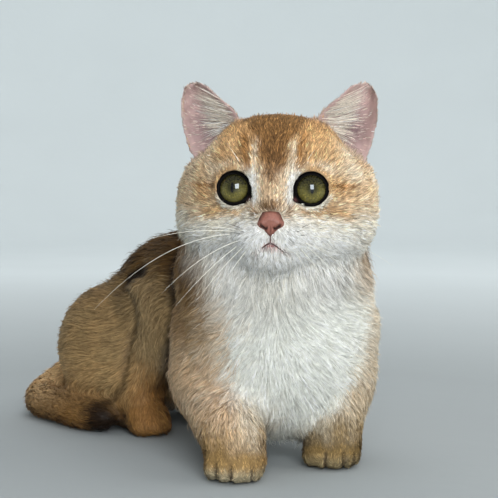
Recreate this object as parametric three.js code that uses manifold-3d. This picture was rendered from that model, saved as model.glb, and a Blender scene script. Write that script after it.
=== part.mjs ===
// A life-size still model of a short-legged kitten that sits on its haunches and looks at the viewer.
// Millimetres and degrees. +Z is up, the face looks along -Y, and +X is the kitten's left.
// The solids reach out to the tips of the coat. The origin is the middle of the base.
import * as THREE from "three";
import { mergeVertices } from "three/addons/utils/BufferGeometryUtils.js";
import Module from "manifold-3d";

const wasm = await Module();
wasm.setup();

// Driving dimensions
const HEAD_WIDTH = 95;
const EYE_SPACING = 33.6;
const EYE_BALL = 8.8;
const EYE_OPENING = 6.7;
const EAR_THICKNESS = 2.6;
const CHEST_HALF_WIDTH = 45;
const CHEST_HEIGHT = 58;
const HIP_HEIGHT = 42;
const BODY_TURN = 35;
const TRUNK_LENGTH = 120;
const THIGH_OUT = 27;
const PAW_WIDTH = 28;
const TAIL_RADIUS = 11;
const GAP = 0.3;
const COAT_BLEND = 12;

const rad = THREE.MathUtils.degToRad;
const vector = (p) => new THREE.Vector3(...p);

// Fields: each tells about how far a point lies outside a shape, and is below zero inside it.

// An egg with three radii, turned about the upright axis and then tipped about its own crosswise axis.
function egg(at, [rx, ry, rz], turn = 0, tip = 0) {
  const spin = new THREE.Matrix4().makeRotationFromEuler(new THREE.Euler(rad(tip), 0, rad(turn), "ZXY"));
  const e = new THREE.Matrix3().setFromMatrix4(spin).transpose().elements;
  return (x, y, z) => {
    const dx = x - at[0];
    const dy = y - at[1];
    const dz = z - at[2];
    const u = (e[0] * dx + e[3] * dy + e[6] * dz) / rx;
    const v = (e[1] * dx + e[4] * dy + e[7] * dz) / ry;
    const w = (e[2] * dx + e[5] * dy + e[8] * dz) / rz;
    const near = Math.hypot(u, v, w);
    const slope = Math.hypot(u / rx, v / ry, w / rz);
    return slope > 0 ? (near * (near - 1)) / slope : -Math.min(rx, ry, rz);
  };
}

// A limb: the hull of two balls.
function limb(a, b, ra, rb) {
  const [bx, by, bz] = [b[0] - a[0], b[1] - a[1], b[2] - a[2]];
  const long = bx * bx + by * by + bz * bz;
  const taper = ra - rb;
  const slant = long - taper * taper;
  return (x, y, z) => {
    const [px, py, pz] = [x - a[0], y - a[1], z - a[2]];
    const up = px * bx + py * by + pz * bz;
    const past = up - long;
    const side = (px * long - bx * up) ** 2 + (py * long - by * up) ** 2 + (pz * long - bz * up) ** 2;
    const k = Math.sign(taper) * taper * taper * side;
    const pastEnd = Math.sign(past) * slant * past * past * long > k;
    const beforeStart = Math.sign(up) * slant * up * up * long < k;
    if (pastEnd) return Math.sqrt(side + past * past * long) / long - rb;
    if (beforeStart) return Math.sqrt(side + up * up * long) / long - ra;
    return (Math.sqrt((side * slant) / long) + up * taper) / long - ra;
  };
}

// Joins fields with a fillet of about the given size.
function blend(size, ...fields) {
  return (x, y, z) => {
    let low = fields[0](x, y, z);
    for (let i = 1; i < fields.length; i++) {
      const other = fields[i](x, y, z);
      const near = Math.max(size - Math.abs(low - other), 0) / size;
      low = Math.min(low, other) - (near * near * size) / 4;
    }
    return low;
  };
}

// Takes tools away from a field, with a rounded rim.
function hollow(size, field, ...tools) {
  return (x, y, z) => {
    let high = field(x, y, z);
    for (const tool of tools) {
      const other = -tool(x, y, z);
      const near = Math.max(size - Math.abs(high - other), 0) / size;
      high = Math.max(high, other) + (near * near * size) / 4;
    }
    return high;
  };
}

// A limb's field with its root flared onto what it grows from. The flare keeps within reach of the limb.
function rooted(size, field, parent) {
  const joined = blend(size, field, parent);
  return (x, y, z) => Math.max(joined(x, y, z), field(x, y, z) - 0.5 * size);
}

// Surfaces and solids

// A geometry with merged points and nothing but their places.
function bare(geometry) {
  geometry.deleteAttribute("normal");
  geometry.deleteAttribute("uv");
  return mergeVertices(geometry, 1e-4);
}

// A sphere whose points are carried out from a core line until they meet a field's surface.
// The sphere's poles lie on the core's line, and crowd brings its rings closer to the first of them.
function wrap(field, { from, to = from, pole, around, along, crowd = (share) => share }, out = 0) {
  const half = vector(to).sub(vector(from)).multiplyScalar(0.5);
  const middle = vector(from).add(half);
  const axis = pole ? vector(pole).normalize() : half.clone().normalize();
  const turn = new THREE.Quaternion().setFromUnitVectors(new THREE.Vector3(0, 1, 0), axis);
  const skin = bare(new THREE.SphereGeometry(1, around, along));
  const places = skin.attributes.position;
  const point = new THREE.Vector3();
  for (let i = 0; i < places.count; i++) {
    point.fromBufferAttribute(places, i);
    const polar = crowd(Math.acos(THREE.MathUtils.clamp(point.y, -1, 1)) / Math.PI) * Math.PI;
    const flat = Math.hypot(point.x, point.z);
    const side = flat > 1e-6 ? Math.sin(polar) / flat : 0;
    const ray = new THREE.Vector3(point.x * side, Math.cos(polar), point.z * side).applyQuaternion(turn);
    const start = middle.clone().addScaledVector(half, Math.cos(polar));
    const far = reach(field, start, ray, out);
    places.setXYZ(i, start.x + ray.x * far, start.y + ray.y * far, start.z + ray.z * far);
  }
  return skin;
}

// How far a ray runs from inside a field to where the field rises to the value out.
function reach(field, start, ray, out) {
  const at = (far) => field(start.x + ray.x * far, start.y + ray.y * far, start.z + ray.z * far) - out;
  let inside = 0;
  let outside = 0;
  for (let depth = at(0); depth < 0 && outside < 200; depth = at(outside)) {
    inside = outside;
    outside += Math.max(0.4, -0.6 * depth);
  }
  for (let i = 0; i < 16; i++) {
    const middle = (inside + outside) / 2;
    if (at(middle) < 0) inside = middle;
    else outside = middle;
  }
  return inside;
}

function solid(geometry) {
  const made = geometry.attributes.normal ? bare(geometry) : geometry;
  return new wasm.Manifold(
    new wasm.Mesh({
      numProp: 3,
      vertProperties: new Float32Array(made.attributes.position.array),
      triVerts: new Uint32Array(made.index.array),
    }),
  );
}

// The largest closed surface of a solid, which leaves out loose scraps.
function largest(made) {
  return made.decompose().reduce((a, b) => (a.volume() > b.volume() ? a : b));
}

function cut(made, ...tools) {
  return largest(tools.reduce((left, tool) => left.subtract(tool), made));
}

// Keeps what lies on the side of a plane that its normal points to, half a gap off the plane.
function keep(made, at, normal, clearance = GAP / 2) {
  const n = vector(normal).normalize();
  return largest(made.trimByPlane(n.toArray(), vector(at).dot(n) + clearance));
}

function onFloor(made) {
  return keep(made, [0, 0, 0], [0, 0, 1], 0);
}

// A tube of round section along a curve, with its radius given along the way and round ends.
function tube(curve, radius, around, along) {
  const skin = bare(new THREE.SphereGeometry(1, around, along));
  const places = skin.attributes.position;
  const frames = curve.computeFrenetFrames(along, false);
  for (let i = 0; i < places.count; i++) {
    const point = new THREE.Vector3().fromBufferAttribute(places, i);
    const share = Math.acos(THREE.MathUtils.clamp(point.y, -1, 1)) / Math.PI;
    const ring = Math.round(share * along);
    const flat = Math.hypot(point.x, point.z);
    const size = flat > 1e-6 ? radius(share) / flat : 0;
    const centre = curve.getPointAt(share);
    centre.addScaledVector(frames.normals[ring], point.x * size);
    centre.addScaledVector(frames.binormals[ring], point.z * size);
    places.setXYZ(i, ...centre.toArray());
  }
  return skin;
}

// Materials
const finish = (color, roughness) => {
  return new THREE.MeshStandardMaterial({ color, roughness, metalness: 0 });
};
const goldenCoat = finish(0xc09a68, 0.85);
const shadedCoat = finish(0x8a6a42, 0.85);
const paleCoat = finish(0xe4ded0, 0.85);
const tailTipCoat = finish(0x2e2015, 0.85);
const earLining = finish(0xd7a9a0, 0.7);
const noseLeather = finish(0xb5605a, 0.55);
const eyeGlass = finish(0x7d8a45, 0.08);

const figure = new THREE.Group();
const headGroup = new THREE.Group();
figure.add(headGroup);

// Adds a solid to a group as one named mesh, placed by its own middle.
function addNode(group, name, made, material) {
  const mesh = made.getMesh();
  const geometry = new THREE.BufferGeometry()
    .setAttribute("position", new THREE.BufferAttribute(new Float32Array(mesh.vertProperties), 3))
    .setIndex(new THREE.BufferAttribute(new Uint32Array(mesh.triVerts), 1));
  geometry.computeBoundingBox();
  const middle = geometry.boundingBox.getCenter(new THREE.Vector3());
  geometry.translate(-middle.x, -middle.y, -middle.z);
  geometry.computeVertexNormals();
  const node = new THREE.Mesh(geometry, material);
  node.name = name;
  node.position.copy(middle);
  group.add(node);
}

// Head, in its own frame: the origin lies level with the eyes in the plane of the cheeks.
const CHEEK_OUT = 0.235 * HEAD_WIDTH;
const HEAD_SCALE = HEAD_WIDTH / 95;
const EYE_AT = [EYE_SPACING / 2, -25.8, 0];
const EYE_AXIS = [0.14, -0.985, 0.05];
const headSizes = (p) => p.map((v) => v * HEAD_SCALE);

function headField() {
  const pair = (make) => [make(1), make(-1)];
  const skull = egg([0, 4, 3], headSizes([44, 38.5, 33.5]));
  const temples = pair((s) => egg([s * 0.27 * HEAD_WIDTH, 5, 5], headSizes([20, 27, 19])));
  const cheeks = pair((s) => egg([s * CHEEK_OUT, 0, -15], headSizes([25, 27, 21])));
  const jaw = egg([0, -4, -22], headSizes([34, 28, 17]));
  const brows = pair((s) => egg([s * 14, -20, 13], [13, 11, 8]));
  const bridge = limb([0, -26, 4], [0, -35.5, -12], 8, 6.4);
  const muzzle = egg([0, -24.5, -20.5], [21, 16, 13.5]);
  const pads = pair((s) => egg([s * 7, -32.5, -21], [10, 9, 7.2]));
  const chin = egg([0, -27.5, -29.5], [11.5, 10.5, 8.2]);
  const sockets = pair((s) => egg([s * EYE_AT[0], EYE_AT[1] - 12.6, EYE_AT[2]], [9, 7, 9]));
  const mass = blend(10, skull, ...temples, ...cheeks, jaw);
  const face = blend(8, mass, ...brows, bridge, muzzle, chin);
  const full = hollow(2.5, blend(3, face, ...pads), ...sockets);
  return hollow(7, full, beforeEars);
}

// What the forehead leaves free before the ears, so that their cups lie open to the front.
function beforeEars(x, y, z) {
  const rising = (t) => (t > 0 ? (t * t) / (t + 4) : 0);
  const behind = rising(y - 0.8 * (z + 5) + 13);
  const below = rising(17 - z);
  return 37.7 + 1.2 * behind + below - 0.833 * Math.abs(x) - 0.554 * z;
}

const headShape = headField();
const headMesh = {
  from: [0, 0, -5],
  pole: [0, -1, -0.25],
  around: 40,
  along: 29,
  crowd: (share) => share * (0.45 + 0.55 * share),
};

// The point of the face at a given place across and up.
function onFace(across, up, proud = 0) {
  const depth = reach(headShape, vector([across, -6, up]), vector([0, -1, 0]), proud);
  return vector([across, -6 - depth, up]);
}

// A ring that hugs the eyeball, as the lids do.
function lidRing(side) {
  const ring = new THREE.TorusGeometry(EYE_OPENING + 1, 1.5, 6, 22);
  const look = vector([side * EYE_AXIS[0], EYE_AXIS[1], EYE_AXIS[2]]).normalize();
  const depth = Math.sqrt(EYE_BALL ** 2 - EYE_OPENING ** 2);
  const at = vector([side * EYE_AT[0], EYE_AT[1], EYE_AT[2]]).addScaledVector(look, depth);
  ring.applyQuaternion(new THREE.Quaternion().setFromUnitVectors(new THREE.Vector3(0, 0, 1), look));
  return solid(ring.translate(at.x, at.y, at.z));
}

function eyeBall(side, radius) {
  const ball = new THREE.SphereGeometry(radius, 16, 12);
  return solid(ball.translate(side * EYE_AT[0], EYE_AT[1], EYE_AT[2]));
}

const NOSE_AT = [0, -39.8, -15.6];

function noseField() {
  const [x, y, z] = NOSE_AT;
  const top = egg([x, y, z + 1.6], [5.6, 4.4, 3.4]);
  const wings = [1, -1].map((s) => egg([x + s * 3.9, y + 0.3, z - 0.6], [2.5, 4, 2.6]));
  const foot = egg([x, y, z - 3.6], [2.4, 4, 3.6]);
  return blend(1.6, top, ...wings, foot);
}

const noseMesh = { from: NOSE_AT, pole: [0, -1, 0], around: 18, along: 10 };

function nostril(side) {
  const [x, y, z] = NOSE_AT;
  const hole = new THREE.CatmullRomCurve3([
    vector([x + side * 2.1, y - 6, z - 2]),
    vector([x + side * 2.7, y - 3.5, z - 1.9]),
    vector([x + side * 4.6, y - 1.5, z - 1.2]),
    vector([x + side * 6.4, y + 0.5, z - 0.9]),
  ]);
  const radius = (share) => 0.9 * Math.sqrt(Math.max(1e-4, 1 - (2 * share - 1) ** 6));
  return solid(tube(hole, radius, 6, 8));
}

// The line of the mouth: a groove from under the nose to each corner, along the lower edge of the pads.
const MOUTH_LINE = [[0, -24], [2.6, -25], [4.8, -26.9], [6.4, -28.2], [7.6, -28.8]];
const LIP_LINE = [[0, -18], [0, -21], [0, -24]];
const GROOVE = 0.9;

function groove(line, side) {
  const path = new THREE.CatmullRomCurve3(line.map(([across, up]) => onFace(side * across, up)));
  const radius = (share) => GROOVE * Math.sqrt(Math.max(1e-4, 1 - (2 * share - 1) ** 8));
  return solid(tube(path, radius, 6, 4 * line.length - 6));
}

// An ear: a leaf between an inner and an outer edge, cupped to the front, thick at the root.
const EAR_INNER_EDGE = [[15, 5, 26], [19.5, 3.5, 37.5], [28, 4, 45], [35.5, 6, 51.5], [42, 8.5, 53.2]];
const EAR_LEAN = { right: 1.6, left: 0 };
const EAR_OUTER_EDGE = [
  [36, 14, 9],
  [43, 12, 17],
  [46.6, 10.5, 29.5],
  [47.6, 9.5, 39.5],
  [46.4, 9, 48.5],
  [42, 8.5, 53.2],
];

function ear(name, side) {
  const inner = new THREE.CatmullRomCurve3(EAR_INNER_EDGE.map(vector));
  const outer = new THREE.CatmullRomCurve3(EAR_OUTER_EDGE.map(vector));
  const leaf = bare(new THREE.SphereGeometry(1, 18, 13));
  const places = leaf.attributes.position;
  for (let i = 0; i < places.count; i++) {
    const point = new THREE.Vector3().fromBufferAttribute(places, i);
    const share = 1 - Math.acos(THREE.MathUtils.clamp(point.y, -1, 1)) / Math.PI;
    const flat = Math.hypot(point.x, point.z);
    const across = flat > 1e-6 ? point.x / flat : 0;
    const thick = flat > 1e-6 ? point.z / flat : 0;
    const a = inner.getPointAt(share);
    const b = outer.getPointAt(share);
    const place = a.lerp(b, (1 + across) / 2);
    const cup = 12 * (1 - across * across) * Math.sin(Math.PI * (0.16 + 0.84 * (1 - share))) ** 0.8;
    const half = (0.5 + 0.5 * (1 - share)) * EAR_THICKNESS * Math.min(1, 3 * flat);
    place.x += EAR_LEAN[name] * share;
    place.y += cup + thick * half;
    place.z += thick * half * 0.25;
    places.setXYZ(i, side * place.x, place.y, place.z);
  }
  if (side > 0) {
    const order = leaf.index;
    for (let i = 0; i < order.count; i += 3) {
      const first = order.getX(i);
      order.setX(i, order.getX(i + 1));
      order.setX(i + 1, first);
    }
  }
  return solid(leaf);
}

function addHead() {
  const nose = cut(solid(wrap(noseField(), noseMesh)), nostril(1), nostril(-1));
  const balls = [1, -1].map((s) => eyeBall(s, EYE_BALL + GAP));
  const lids = [1, -1].map(lidRing);
  const grooves = [groove(MOUTH_LINE, 1), groove(MOUTH_LINE, -1), groove(LIP_LINE, 1)];
  const blank = lids.reduce((all, lid) => all.add(lid), solid(wrap(headShape, headMesh)));
  const head = cut(blank, ...balls, solid(wrap(noseField(), noseMesh, GAP)), ...grooves);
  const fullHead = solid(wrap(headShape, headMesh, GAP));
  addNode(headGroup, "head", head, goldenCoat);
  addNode(headGroup, "nose", nose, noseLeather);
  for (const [name, side] of [["left", 1], ["right", -1]]) {
    addNode(headGroup, `eye_${name}`, eyeBall(side, EYE_BALL), eyeGlass);
    addNode(headGroup, `ear_${name}`, cut(ear(name, side), fullHead), earLining);
  }
  return fullHead;
}

// Places the head: turned a little to the kitten's right, and leaning a little to its left.
headGroup.position.set(13.4, 30, 130.7);
headGroup.rotation.set(rad(-2), rad(0.8), rad(-5));
headGroup.updateMatrixWorld(true);
const headPlace = headGroup.matrixWorld.clone();
const intoHead = headPlace.clone().invert().elements;

function headInWorld(x, y, z) {
  const m = intoHead;
  return headShape(
    m[0] * x + m[4] * y + m[8] * z + m[12],
    m[1] * x + m[5] * y + m[9] * z + m[13],
    m[2] * x + m[6] * y + m[10] * z + m[14],
  );
}

// Trunk. The chest faces the viewer and the hips lie behind it, to the kitten's right.
const backward = [-Math.sin(rad(BODY_TURN)), Math.cos(rad(BODY_TURN)), 0];
const rightward = [-Math.cos(rad(BODY_TURN)), -Math.sin(rad(BODY_TURN)), 0];
const CHEST_AT = [12, 46, CHEST_HEIGHT];
const PELVIS_AT = [
  CHEST_AT[0] + TRUNK_LENGTH * backward[0],
  CHEST_AT[1] + TRUNK_LENGTH * backward[1],
  HIP_HEIGHT,
];
const offset = (at, back, right, z) => [
  at[0] + back * backward[0] + right * rightward[0],
  at[1] + back * backward[1] + right * rightward[1],
  z,
];

function trunkField() {
  const chest = egg(CHEST_AT, [CHEST_HALF_WIDTH, 47, CHEST_HEIGHT - 7]);
  const throat = egg([13, 38, 84], [44, 36, 29]);
  const withers = egg([4, 68, 90], [35, 38, 33]);
  const ribs = egg(offset(CHEST_AT, 52, -3, 67), [40, 46, 48], BODY_TURN);
  const loin = egg(offset(CHEST_AT, 88, -2, 61), [40, 42, 46], BODY_TURN);
  const pelvis = egg(PELVIS_AT, [45, 42, 41], BODY_TURN);
  const neck = egg([12.5, 44, 98], [45, 40, 30]);
  const front = blend(COAT_BLEND, chest, throat, withers, neck);
  const rear = blend(COAT_BLEND, ribs, loin, pelvis);
  return blend(0.7 * COAT_BLEND, front, rear);
}

const trunkShape = trunkField();
const torsoMesh = {
  from: offset(CHEST_AT, 4, 0, 62),
  to: offset(CHEST_AT, TRUNK_LENGTH - 12, 0, 46),
  around: 30,
  along: 25,
};
const neckMesh = { from: [12, 52, 92], to: [12, 42, 106], around: 28, along: 12 };
const NECK_BASE = { at: [12, 46, 100], normal: [0, -0.5, 1] };

// Front legs
const forelegs = {
  right: {
    shoulder: [-15, 46, 64],
    elbow: [-18, 41, 39],
    wrist: [-8, 2, 20],
    paw: [-5.5, -5.5, 8],
    thick: [24.5, 20.5, 15.5],
    turn: -16,
  },
  left: {
    shoulder: [41, 46, 64],
    elbow: [43, 43, 38],
    wrist: [41, 26, 19],
    paw: [39.5, 22, 8],
    thick: [24, 18.5, 13.5],
    turn: -6,
  },
};

// A paw with four toes that fan out from its front. Turn is about the upright axis.
function pawField(at, turn, long, width = PAW_WIDTH) {
  const c = Math.cos(rad(turn));
  const s = Math.sin(rad(turn));
  const place = (right, front, up) => [at[0] + c * right + s * front, at[1] + s * right - c * front, up];
  const palm = egg(at, [width / 2, long, 9.5], turn);
  const toes = [-1.5, -0.5, 0.5, 1.5].map((slot) => {
    const front = long * 0.78 - 1.3 * slot * slot;
    return egg(place(slot * width * 0.235, front, 5.2), [width * 0.145, 7, 6.4], turn - slot * 7);
  });
  return blend(2.4, palm, ...toes);
}

function addForeleg(name, { shoulder, elbow, wrist, paw, thick, turn }, torsoOut) {
  const upper = limb(shoulder, elbow, thick[0], thick[1]);
  const lower = limb(elbow, wrist, thick[1], thick[2]);
  const whole = blend(7, upper, lower, pawField(paw, turn, 13));
  const field = rooted(3, whole, trunkShape);
  const joint = [wrist[0], wrist[1], 17];
  const slope = [0, 0.3, 1];
  const legMesh = { from: [wrist[0], wrist[1] + 4, 20], to: shoulder, around: 22, along: 16 };
  const pawMesh = { from: [paw[0], paw[1] - 1, 9], pole: [0, -1, 0], around: 22, along: 16 };
  const leg = keep(cut(solid(wrap(field, legMesh)), torsoOut), joint, slope);
  const foot = keep(cut(solid(wrap(field, pawMesh)), torsoOut), joint, slope.map((v) => -v));
  addNode(figure, `foreleg_${name}`, onFloor(leg), goldenCoat);
  addNode(figure, `forepaw_${name}`, onFloor(foot), goldenCoat);
}

// Hind legs: a haunch that bulges from the hip, and a long foot flat on the floor under it.
const hindlegs = { right: 1, left: -1 };

function haunchField(side) {
  const thigh = egg(offset(PELVIS_AT, -1, side * THIGH_OUT, 41), [26.5, 38, 35.5], BODY_TURN, -6);
  const knee = egg(offset(PELVIS_AT, -31, side * (THIGH_OUT + 1), 32), [15, 19, 27], BODY_TURN);
  return blend(10, thigh, knee);
}

function footField(side) {
  const heel = offset(PELVIS_AT, -2, side * 32, 10);
  const toe = offset(PELVIS_AT, -43, side * 27, 9);
  return blend(5, limb(heel, toe, 9, 9.5), pawField(toe, BODY_TURN - side * 14, 11.5, 23));
}

function addHindleg(name, side, torsoOut) {
  const haunch = rooted(10, haunchField(side), trunkShape);
  const haunchMesh = {
    from: offset(PELVIS_AT, -26, side * 26, 36),
    to: offset(PELVIS_AT, 4, side * 22, 42),
    around: 22,
    along: 16,
  };
  const haunchOut = solid(wrap(haunch, haunchMesh, GAP));
  const foot = rooted(5, footField(side), blend(4, trunkShape, haunch));
  const footMesh = {
    from: offset(PELVIS_AT, -40, side * 28, 9),
    to: offset(PELVIS_AT, -10, side * 31, 10),
    around: 20,
    along: 16,
  };
  const thighSolid = onFloor(cut(solid(wrap(haunch, haunchMesh)), torsoOut));
  const footSolid = onFloor(cut(solid(wrap(foot, footMesh)), torsoOut, haunchOut));
  addNode(figure, `haunch_${name}`, thighSolid, shadedCoat);
  addNode(figure, `hindpaw_${name}`, footSolid, goldenCoat);
  return [haunchOut, solid(wrap(foot, footMesh, GAP))];
}

// Tail: it leaves the rump behind, turns forward round the right haunch and lies along the floor.
const tailLine = new THREE.CatmullRomCurve3([
  vector(offset(PELVIS_AT, 24, 4, 34)),
  vector(offset(PELVIS_AT, 40, 14, 27)),
  vector(offset(PELVIS_AT, 50, 32, 15)),
  vector(offset(PELVIS_AT, 38, 49, 9.5)),
  vector(offset(PELVIS_AT, 12, 51, 9.5)),
  vector(offset(PELVIS_AT, -15, 49, 9.2)),
  vector(offset(PELVIS_AT, -36, 43, 8.6)),
]);

function tailRadius(share) {
  const taper = TAIL_RADIUS * (1.06 - 0.22 * share);
  return taper * Math.pow(Math.max(1e-6, 1 - Math.pow(Math.abs(2 * share - 1), 10)), 0.5);
}

// Adds the tail in three lengths, parted by thin discs across its line.
function addTail(...neighbours) {
  const whole = onFloor(cut(solid(tube(tailLine, tailRadius, 12, 30)), ...neighbours));
  const slices = [0.36, 0.7].map((share) => {
    const disc = new THREE.CylinderGeometry(TAIL_RADIUS + 4, TAIL_RADIUS + 4, GAP, 16);
    const way = tailLine.getTangentAt(share);
    const at = tailLine.getPointAt(share);
    disc.applyQuaternion(new THREE.Quaternion().setFromUnitVectors(new THREE.Vector3(0, 1, 0), way));
    return solid(disc.translate(at.x, at.y, at.z));
  });
  const lengths = slices.reduce((left, slice) => left.subtract(slice), whole).decompose();
  lengths.sort((a, b) => b.boundingBox().max[1] - a.boundingBox().max[1]);
  addNode(figure, "tail_root", lengths[0], shadedCoat);
  addNode(figure, "tail_middle", lengths[1], goldenCoat);
  addNode(figure, "tail_tip", lengths[2], tailTipCoat);
}

const headOut = addHead().transform(headPlace.elements);
const torsoOut = solid(wrap(trunkShape, torsoMesh, GAP));
const downward = NECK_BASE.normal.map((v) => -v);
const torso = keep(solid(wrap(trunkShape, torsoMesh)), NECK_BASE.at, downward);
const neck = keep(solid(wrap(trunkShape, neckMesh)), NECK_BASE.at, NECK_BASE.normal);
addNode(figure, "torso", cut(torso, headOut), paleCoat);
addNode(figure, "neck", cut(neck, headOut), paleCoat);
addForeleg("right", forelegs.right, torsoOut);
addForeleg("left", forelegs.left, torsoOut);
const hindlegsOut = Object.entries(hindlegs).map(([name, side]) => addHindleg(name, side, torsoOut));
addTail(torsoOut, ...hindlegsOut[0]);

// Moves the whole figure so that the middle of its base is the origin.
figure.updateMatrixWorld(true);
const bounds = new THREE.Box3().setFromObject(figure, true);
const centre = bounds.getCenter(new THREE.Vector3());
figure.position.set(-centre.x, -centre.y, -bounds.min.z);

const kitten = new THREE.Group();
kitten.add(figure);
export default kitten;
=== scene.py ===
"""A sitting short-legged kitten, life size: skin, coat, eyes, nose and whiskers on a plain stage."""
import math

import bpy
import numpy as np
from bpy.props import FloatProperty, FloatVectorProperty, IntProperty, PointerProperty
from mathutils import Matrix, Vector
from mathutils.bvhtree import BVHTree


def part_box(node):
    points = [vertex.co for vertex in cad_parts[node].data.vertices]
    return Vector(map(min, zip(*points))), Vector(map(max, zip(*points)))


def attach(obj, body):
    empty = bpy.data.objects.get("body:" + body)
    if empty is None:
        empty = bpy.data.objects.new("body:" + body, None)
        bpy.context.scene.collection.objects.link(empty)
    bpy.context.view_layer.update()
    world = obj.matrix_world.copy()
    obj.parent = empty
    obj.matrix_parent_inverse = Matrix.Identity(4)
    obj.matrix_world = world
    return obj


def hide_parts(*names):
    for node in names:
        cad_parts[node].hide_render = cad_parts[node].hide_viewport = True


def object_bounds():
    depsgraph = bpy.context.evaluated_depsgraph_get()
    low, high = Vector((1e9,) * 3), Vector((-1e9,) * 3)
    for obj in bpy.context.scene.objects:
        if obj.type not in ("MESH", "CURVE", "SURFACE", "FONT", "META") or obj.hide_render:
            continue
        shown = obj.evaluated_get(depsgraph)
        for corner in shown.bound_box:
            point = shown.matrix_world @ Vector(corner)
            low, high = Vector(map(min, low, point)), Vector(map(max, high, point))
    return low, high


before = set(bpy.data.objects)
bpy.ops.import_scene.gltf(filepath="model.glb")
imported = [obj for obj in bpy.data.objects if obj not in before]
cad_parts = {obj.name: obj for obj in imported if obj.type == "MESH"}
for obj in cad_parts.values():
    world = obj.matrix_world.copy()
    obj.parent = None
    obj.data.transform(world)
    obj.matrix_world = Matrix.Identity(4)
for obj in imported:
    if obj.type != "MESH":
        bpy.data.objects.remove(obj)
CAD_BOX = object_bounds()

bl_info = {
    "name": "Sitting kitten",
    "version": (1, 0, 0),
    "blender": (4, 5, 0),
    "location": "3D View > Sidebar > Kitten",
    "description": "A life-size golden kitten with a solid coat, eyes, nose, whiskers and a plain stage",
    "category": "Object",
}

# ---------------------------------------------------------------------------------------------------------
# Frame. Shapes are worked out in millimetres and put into the meshes in metres.
MM = 0.001
BODY_TURN = math.radians(35)
BACKWARD = np.array([-math.sin(BODY_TURN), math.cos(BODY_TURN), 0.0])
RIGHTWARD = np.array([-math.cos(BODY_TURN), -math.sin(BODY_TURN), 0.0])
DOWN = np.array([0.0, 0.0, -1.0])


def box(name):
    """The lowest and highest corner of a node, in millimetres."""
    low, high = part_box(name)
    return np.array(low) / MM, np.array(high) / MM


def middle(*names):
    """The middle of the box round some nodes."""
    boxes = [box(n) for n in names]
    return (np.min([b[0] for b in boxes], 0) + np.max([b[1] for b in boxes], 0)) / 2


def unit(v):
    """Each vector divided by its own length."""
    v = np.asarray(v, float)
    return v / (np.linalg.norm(v, axis=-1, keepdims=True) + 1e-12)


# The head's own frame: across to its left, back and up, from a point 25.8 mm behind the middle of the eyes.
EYE_MIDDLE = {side: middle("eye_" + side) for side in ("left", "right")}
EYE_BALL = float((box("eye_left")[1] - box("eye_left")[0]).max() / 2)
EYE_SET = 25.8
ACROSS = unit(EYE_MIDDLE["left"] - EYE_MIDDLE["right"])
BACK = unit(np.cross([0.014, 0.035, 1.0], ACROSS))
UP = np.cross(ACROSS, BACK)
HEAD_AXES = np.stack([ACROSS, BACK, UP], 1)
HEAD = middle("eye_left", "eye_right") + EYE_SET * BACK
EYE_OUT = float(np.linalg.norm(EYE_MIDDLE["left"] - EYE_MIDDLE["right"]) / 2)
LOOK = {"left": unit([0.14, -0.985, 0.05]), "right": unit([-0.14, -0.985, 0.05])}
SIDES = (("left", 1), ("right", -1))
NOSE = np.array([0.0, -39.8, -15.6])


def to_head(p):
    """Points of the frame as seen from the head."""
    return (p - HEAD) @ HEAD_AXES


def from_head(q):
    """Points of the head's frame in the whole frame."""
    return HEAD + np.asarray(q, float) @ HEAD_AXES.T


def eye_at(sign):
    """The middle of the left (1) or the right (-1) eye, in the head's frame."""
    return np.array([sign * EYE_OUT, -EYE_SET, 0.0])


# The throat, from which the hair of the chest fans out, and the point that the UV maps of the head are laid round.
THROAT = from_head([0.0, -26.0, -43.0])
INNER_HEAD = from_head([0, 6, -4])


def srgb(red, green, blue):
    """A colour given in 0 to 255 as linear light."""
    c = np.array([red, green, blue]) / 255
    return tuple(np.where(c <= 0.04045, c / 12.92, ((c + 0.055) / 1.055) ** 2.4))


# ---------------------------------------------------------------------------------------------------------
# Settings that a user would change
def length(name, text, default):
    """A length in metres."""
    return FloatProperty(name=name, description=text, default=default, min=0.0, unit="LENGTH", subtype="DISTANCE")


def share(name, text, default):
    """A share: 1 for the kitten as it is modelled."""
    return FloatProperty(name=name, description=text, default=default, min=0.0, max=4.0, subtype="FACTOR")


def colour(name, text, default):
    """A colour in linear light."""
    return FloatVectorProperty(name=name, description=text, default=default, size=3, min=0.0, max=1.0, subtype="COLOR")


class CoatSettings(bpy.types.PropertyGroup):
    voxel: length("Skin cell", "Edge of the cells the skin is rebuilt from", 0.00127)
    density: share("Density", "Tufts of the coat against the full number", 1.0)
    hair_length: share("Hair length", "Length of the hair against the modelled coat", 1.0)
    hair_width: share("Hair width", "Width of a tuft against the modelled coat", 1.0)
    seed: IntProperty(name="Seed", description="Start of every random draw of the coat", default=11, min=0)
    gold: colour("Gold", "Apricot gold of the cheeks, shoulders and legs", srgb(206, 160, 104))
    pale: colour("Pale gold", "Pale gold between the gold and the white", srgb(230, 212, 186))
    cream: colour("Cream", "Cream of the lower cheeks and the insides of the legs", srgb(236, 228, 210))
    white: colour("White", "White of the muzzle, throat and chest", srgb(250, 249, 244))
    brown: colour("Brown", "Shaded brown of the back and forehead", srgb(134, 98, 54))
    dark: colour("Dark brown", "Dark tips of the ticked hair, lines of the face and end of the tail", srgb(52, 32, 15))
    warm: colour("Warm brown", "Warm brown low on the flank and on the paws", srgb(166, 118, 58))


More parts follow.
